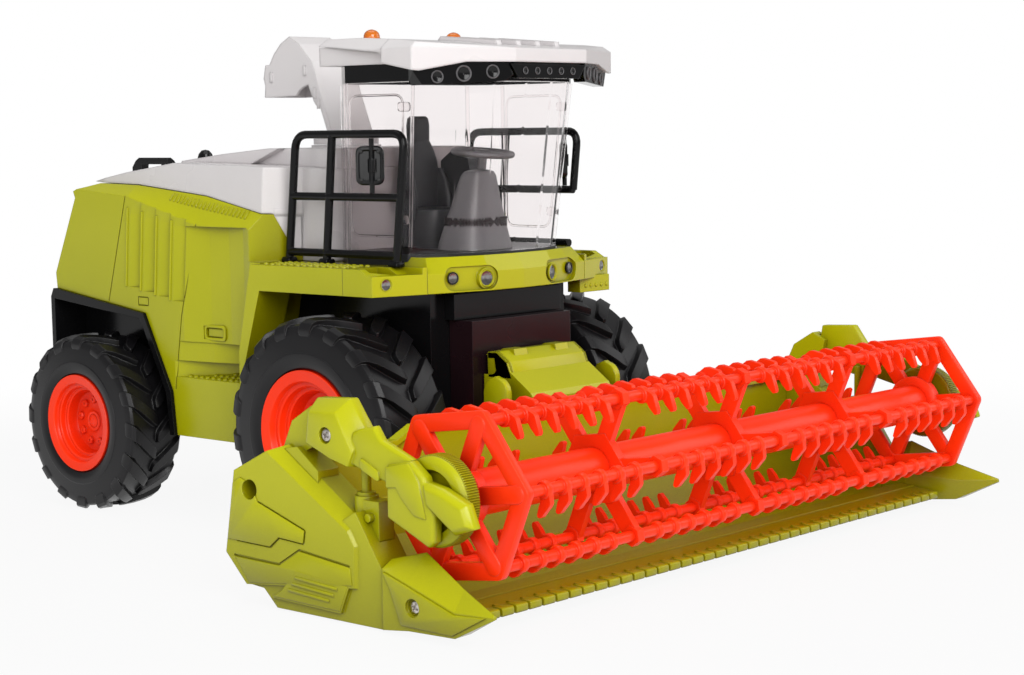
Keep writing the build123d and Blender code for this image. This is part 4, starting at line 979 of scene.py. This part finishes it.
consoleLook = {
    # height, half width, half depth, middle y
    "rows": [
        (119.05, 15.2, 12.6, -23.4), (122, 14.8, 12, -23.4), (131, 12.2, 10, -24), (141, 9.4, 7.8, -25),
        (147, 8, 6.6, -25.6), (150.2, 7.2, 5.8, -26), (151.8, 6, 4.8, -26.4), (152.4, 4.2, 3.4, -26.8),
        (152.6, 2.6, 2.2, -27.2)],
    "trimHeight": 130.6,
    "trimTeeth": 46,
    "trimUp": 2,
    "stem": [(0, -27.6, 151.5), (0, -28.6, 158.6)],
    "stemRadius": 2,
    "wheelMiddle": (0, -28.7, 159.6),
    "wheelTilt": 6,
    "wheelRadius": 12.2,
    "gripRadius": 1.35,
    "trimRing": (12.4, 10.1, -24),
    "wheelHub": [(-1.4, 0), (-1.4, 2.6), (-0.8, 3.3), (0.8, 3.3), (1.3, 2.4), (1.5, 0)],
}


def trimMesh():
    # zigzag band round the console
    look = consoleLook
    halfX, halfY, y = look["trimRing"]
    rows = []
    for level, out in ((-1.0, -0.5), (-1.0, 0.5), (1.0, 0.5), (1.0, -0.5)):
        ring = superOutline(halfX + out, halfY + out, y, look["trimHeight"], look["trimTeeth"] * 2)
        ups = [level * look["trimUp"] * (0.55 + 0.45 * (-1) ** i) for i in range(len(ring))]
        rows.append([(x, y, z + up) for (x, y, z), up in zip(ring, ups)])
    return skinned(rows + rows[:1], capped=False)


def steeringMesh():
    look = consoleLook
    r, g = look["wheelRadius"], look["gripRadius"]
    grip = turned([(g * sin(t), r + g * cos(t)) for t in turns(12)], 56)
    spoke = midPlate([(0, -1.3), (r - 0.4, -1), (r - 0.4, 1), (0, 1.3)], 0.7, 0.3)
    whole = joined(midGrey, grip, turned(look["wheelHub"], 28), ringOf(spoke, midGrey, 3, 30))
    return moved(whole, at(*look["wheelMiddle"]) @ spun(look["wheelTilt"], "X") @ spun(90, "Y"))


stem = rodAlong(consoleLook["stem"], consoleLook["stemRadius"])
finishPiece("console", midGrey, "machine", tower(consoleLook["rows"], 40, 3.2), stem,
            hides=("steering_console",), smoothTo=30)
finishPiece("consoleTrim", maroon, "machine", trimMesh(), smoothTo=10)
finishPiece("steering", midGrey, "machine", steeringMesh(), hides=("steering_wheel",), smoothTo=40)

seatLook = {
    # height, half width, half depth, middle y: cushion, then back, then headrest
    "cushion": [
        (119.05, 10.4, 11, 2), (127, 10.6, 11.2, 2), (133, 10.8, 11.4, 1.6), (135.4, 10, 10.6, 1.4),
        (136.2, 7.6, 8.4, 1.4)],
    "back": [
        (131, 10.2, 3.2, 10.2), (138, 11.2, 3.6, 9.8), (149, 11.4, 3.5, 9.2), (156, 10.2, 3.1, 8.9),
        (161, 8, 2.7, 8.7), (164.6, 5.6, 2.3, 8.6), (165.6, 4, 1.6, 8.6)],
    "head": [(163, 4.8, 2, 9), (165, 5.8, 2.3, 9), (171.6, 6, 2.3, 9), (174.4, 5.4, 2.1, 9), (175.4, 4.2, 1.4, 9)],
    "wing": [(131, 1.6, 4.6, 5.6), (140, 1.8, 5.4, 5.4), (148, 1.7, 4.6, 6.2), (153, 1.3, 2.8, 7.6)],
    "wingOut": 10.6,
}
cushions = [tower(seatLook[name], 32, 3.6) for name in ("cushion", "back", "head")]
wings = [moved(tower(seatLook["wing"], 24, 3.0), at(side * seatLook["wingOut"], 0, 0)) for side in (-1, 1)]
finishPiece("driverSeat", darkGrey, "machine", *cushions, *wings, hides=("seat",), smoothTo=30)

glassLook = {
    # corners of the cab: x, y at the sill and x, y at the top
    "corners": {"front": (44.9, -29.4, 49, -36.6), "rear": (48.5, 3.2, 48.5, 3.2), "back": (38.6, 15.4, 38.6, 15.4)},
    "low": 119.4,
    "high": 188.6,
    "seam": 0.5,
    "door": (0.14, 0.94, 0.1, 0.93),
    "frame": 0.9,
    "frontFrame": 0.6,
    "doorCorner": 5,
    "hinges": [(0.12, 0.86), (0.12, 0.2)],
}


def glassPoint(share, up):
    # on the side pane: share of the way from the front corner to the rear one, and up
    look = glassLook
    corners = [look["corners"][end] for end in ("front", "rear")]
    front, rear = [Vector(corner[:2]).lerp(Vector(corner[2:]), up) for corner in corners]
    return (*front.lerp(rear, share), look["low"] + (look["high"] - look["low"]) * up)


def glassMarks():
    # frames and door lines moulded into the clear panes, and the small hinge plates
    look = glassLook
    rods = []
    for name, (lowX, lowY, highX, highY) in look["corners"].items():
        ends = [(lowX, lowY, look["low"]), (highX, highY, look["high"])]
        rods.append(rodAlong(ends, look["frontFrame"] if name == "front" else look["frame"], steps=2))
    front, rear, low, high = look["door"]
    door = [glassPoint(*spot) for spot in ((front, low), (front, high), (rear, high), (rear, low))]
    start = tuple((a + b) / 2 for a, b in zip(door[0], door[-1]))
    rods.append(rodAlong([start] + door + [start], look["seam"], look["doorCorner"], steps=2))
    for spot in look["hinges"]:
        x, y, z = glassPoint(*spot)
        outline = [(y - 3.4, z - 1.9), (y + 3.4, z - 1.9), (y + 3.4, z + 1.9), (y - 3.4, z + 1.9)]
        rods.append(sidePlate(outline, x - 0.2, x + 0.8, edge=0.2, corner=1.4))
    return joined(clear, *rods)


finishPair("glassMarks", clear, "machine", glassMarks(), smoothTo=40)

beaconLook = {
    "x": 25.2,
    "y": 10.7,
    "foot": 207.3,
    "dome": [(0, 0), (0, 3.9), (0.9, 3.95), (1.1, 3.5), (2.2, 3.4), (3.2, 3), (4, 2.2), (4.5, 1.1), (4.7, 0)],
}
look = beaconLook
dome = moved(turned(look["dome"], 40), at(-look["x"], look["y"], look["foot"]) @ spun(-90, "Y"))
finishPair("beaconDomes", amber, "machine", dome, hides=("beacons",), smoothTo=30)
print("cab furnished")

# stage: pale floor that fades to white, soft boxes and camera
stage = {
    "floorHalf": 6,
    "fadeStart": 0.3,
    "fadeEnd": 0.62,
    "fadeLeast": 0.92,
    "worldStrength": 0.34,
    "lamps": [
        # name, place, aimed at, size across, size along, watts
        ("key", (-0.62, -1.12, 0.72), (0, 0, 0.05), 0.8, 0.8, 13.2),
        ("fill", (-1.2, -0.5, 0.4), (0, 0, 0.06), 0.9, 0.6, 4.3),
        ("top", (0.1, 0.15, 1.35), (0, 0.02, 0.1), 1, 0.9, 3.8),
        ("right", (1.1, -0.8, 0.7), (0, 0, 0.1), 0.8, 0.8, 3),
    ],
    # place of the lens in mm; which way is right, up and back; focal length and shift
    "lens": {
        "place": (-654.926, -629.379, 170.263),
        "right": (0.659711, -0.751405, -0.013106),
        "up": (0.095787, 0.066776, 0.99316),
        "back": (-0.74539, -0.656454, 0.116028),
        "focal": 73.597,
        "sensor": 36,
        "shift": (-0.01548, 0.03299),
    },
}


def raySeen(tree, *kinds):
    # one for any of these kinds of ray, nought for the rest
    path = putNode(tree, "LightPath").outputs
    seen = path[kinds[0]]
    for kind in kinds[1:]:
        seen = putNode(tree, "Math", {0: seen, 1: path[kind]}, operation="MAXIMUM")
    return seen


def blend(tree, end, factor, dull, bright):
    feed(tree, tree.nodes[end].inputs["Surface"], putNode(tree, "MixShader", {"Fac": factor, 1: dull, 2: bright}))


def buildFloor():
    half = stage["floorHalf"]
    mesh = bpy.data.meshes.new("floor")
    mesh.from_pydata([(-half, -half, 0), (half, -half, 0), (half, half, 0), (-half, half, 0)], [], [(0, 1, 2, 3)])
    material = bpy.data.materials.new("floorSheet")
    material.use_nodes = True
    mesh.materials.append(material)
    tree = material.node_tree
    sheet = tree.nodes["Principled BSDF"]
    sheet.inputs["Base Color"].default_value = (0.55, 0.55, 0.55, 1)
    sheet.inputs["Roughness"].default_value = 0.8
    away = putNode(tree, "VectorMath", {0: putNode(tree, "TexCoord").outputs["Object"]}, operation="LENGTH")
    fade = putNode(tree, "MapRange", {"Value": away, "From Min": stage["fadeStart"], "From Max": stage["fadeEnd"],
                                      "To Min": stage["fadeLeast"]}, interpolation_type="SMOOTHSTEP")
    seen = raySeen(tree, "Is Camera Ray", "Is Glossy Ray", "Is Transmission Ray")
    white = putNode(tree, "Emission", {"Color": (1, 1, 1, 1), "Strength": 1.0})
    blend(tree, "Material Output", putNode(tree, "Math", {0: fade, 1: seen}, operation="MULTIPLY"), sheet, white)
    floor = placed("floor", mesh)
    floor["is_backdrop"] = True


def buildWorld():
    scene.world = bpy.data.worlds.new("studio")
    scene.world.use_nodes = True
    tree = scene.world.node_tree
    base = tree.nodes["Background"]
    base.inputs["Color"].default_value = (1, 1, 1, 1)
    base.inputs["Strength"].default_value = stage["worldStrength"]
    white = putNode(tree, "Background", {"Color": (1, 1, 1, 1), "Strength": 1.0})
    blend(tree, "World Output", raySeen(tree, "Is Camera Ray", "Is Transmission Ray"), base, white)


def buildLamps():
    for name, place, aim, across, along, watts in stage["lamps"]:
        lamp = bpy.data.lights.new(name, "AREA")
        lamp.shape, lamp.size, lamp.size_y, lamp.energy = "RECTANGLE", across, along, watts
        holder = placed(name, lamp)
        holder.location = place
        holder.rotation_euler = (Vector(aim) - Vector(place)).to_track_quat("-Z", "Y").to_euler()


def buildCamera():
    lens = stage["lens"]
    camera = bpy.data.cameras.new("camera")
    camera.sensor_width, camera.lens = lens["sensor"], lens["focal"]
    camera.shift_x, camera.shift_y = lens["shift"]
    camera.clip_start, camera.clip_end = 0.01, 50.0
    turn = Matrix((lens["right"], lens["up"], lens["back"])).transposed().to_4x4()
    scene.camera = placed("camera", camera)
    scene.camera.matrix_world = at(*lens["place"]) @ turn


buildFloor()
buildWorld()
buildLamps()
buildCamera()
scene.view_settings.view_transform = "Standard"
print("stage set")

low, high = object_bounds()
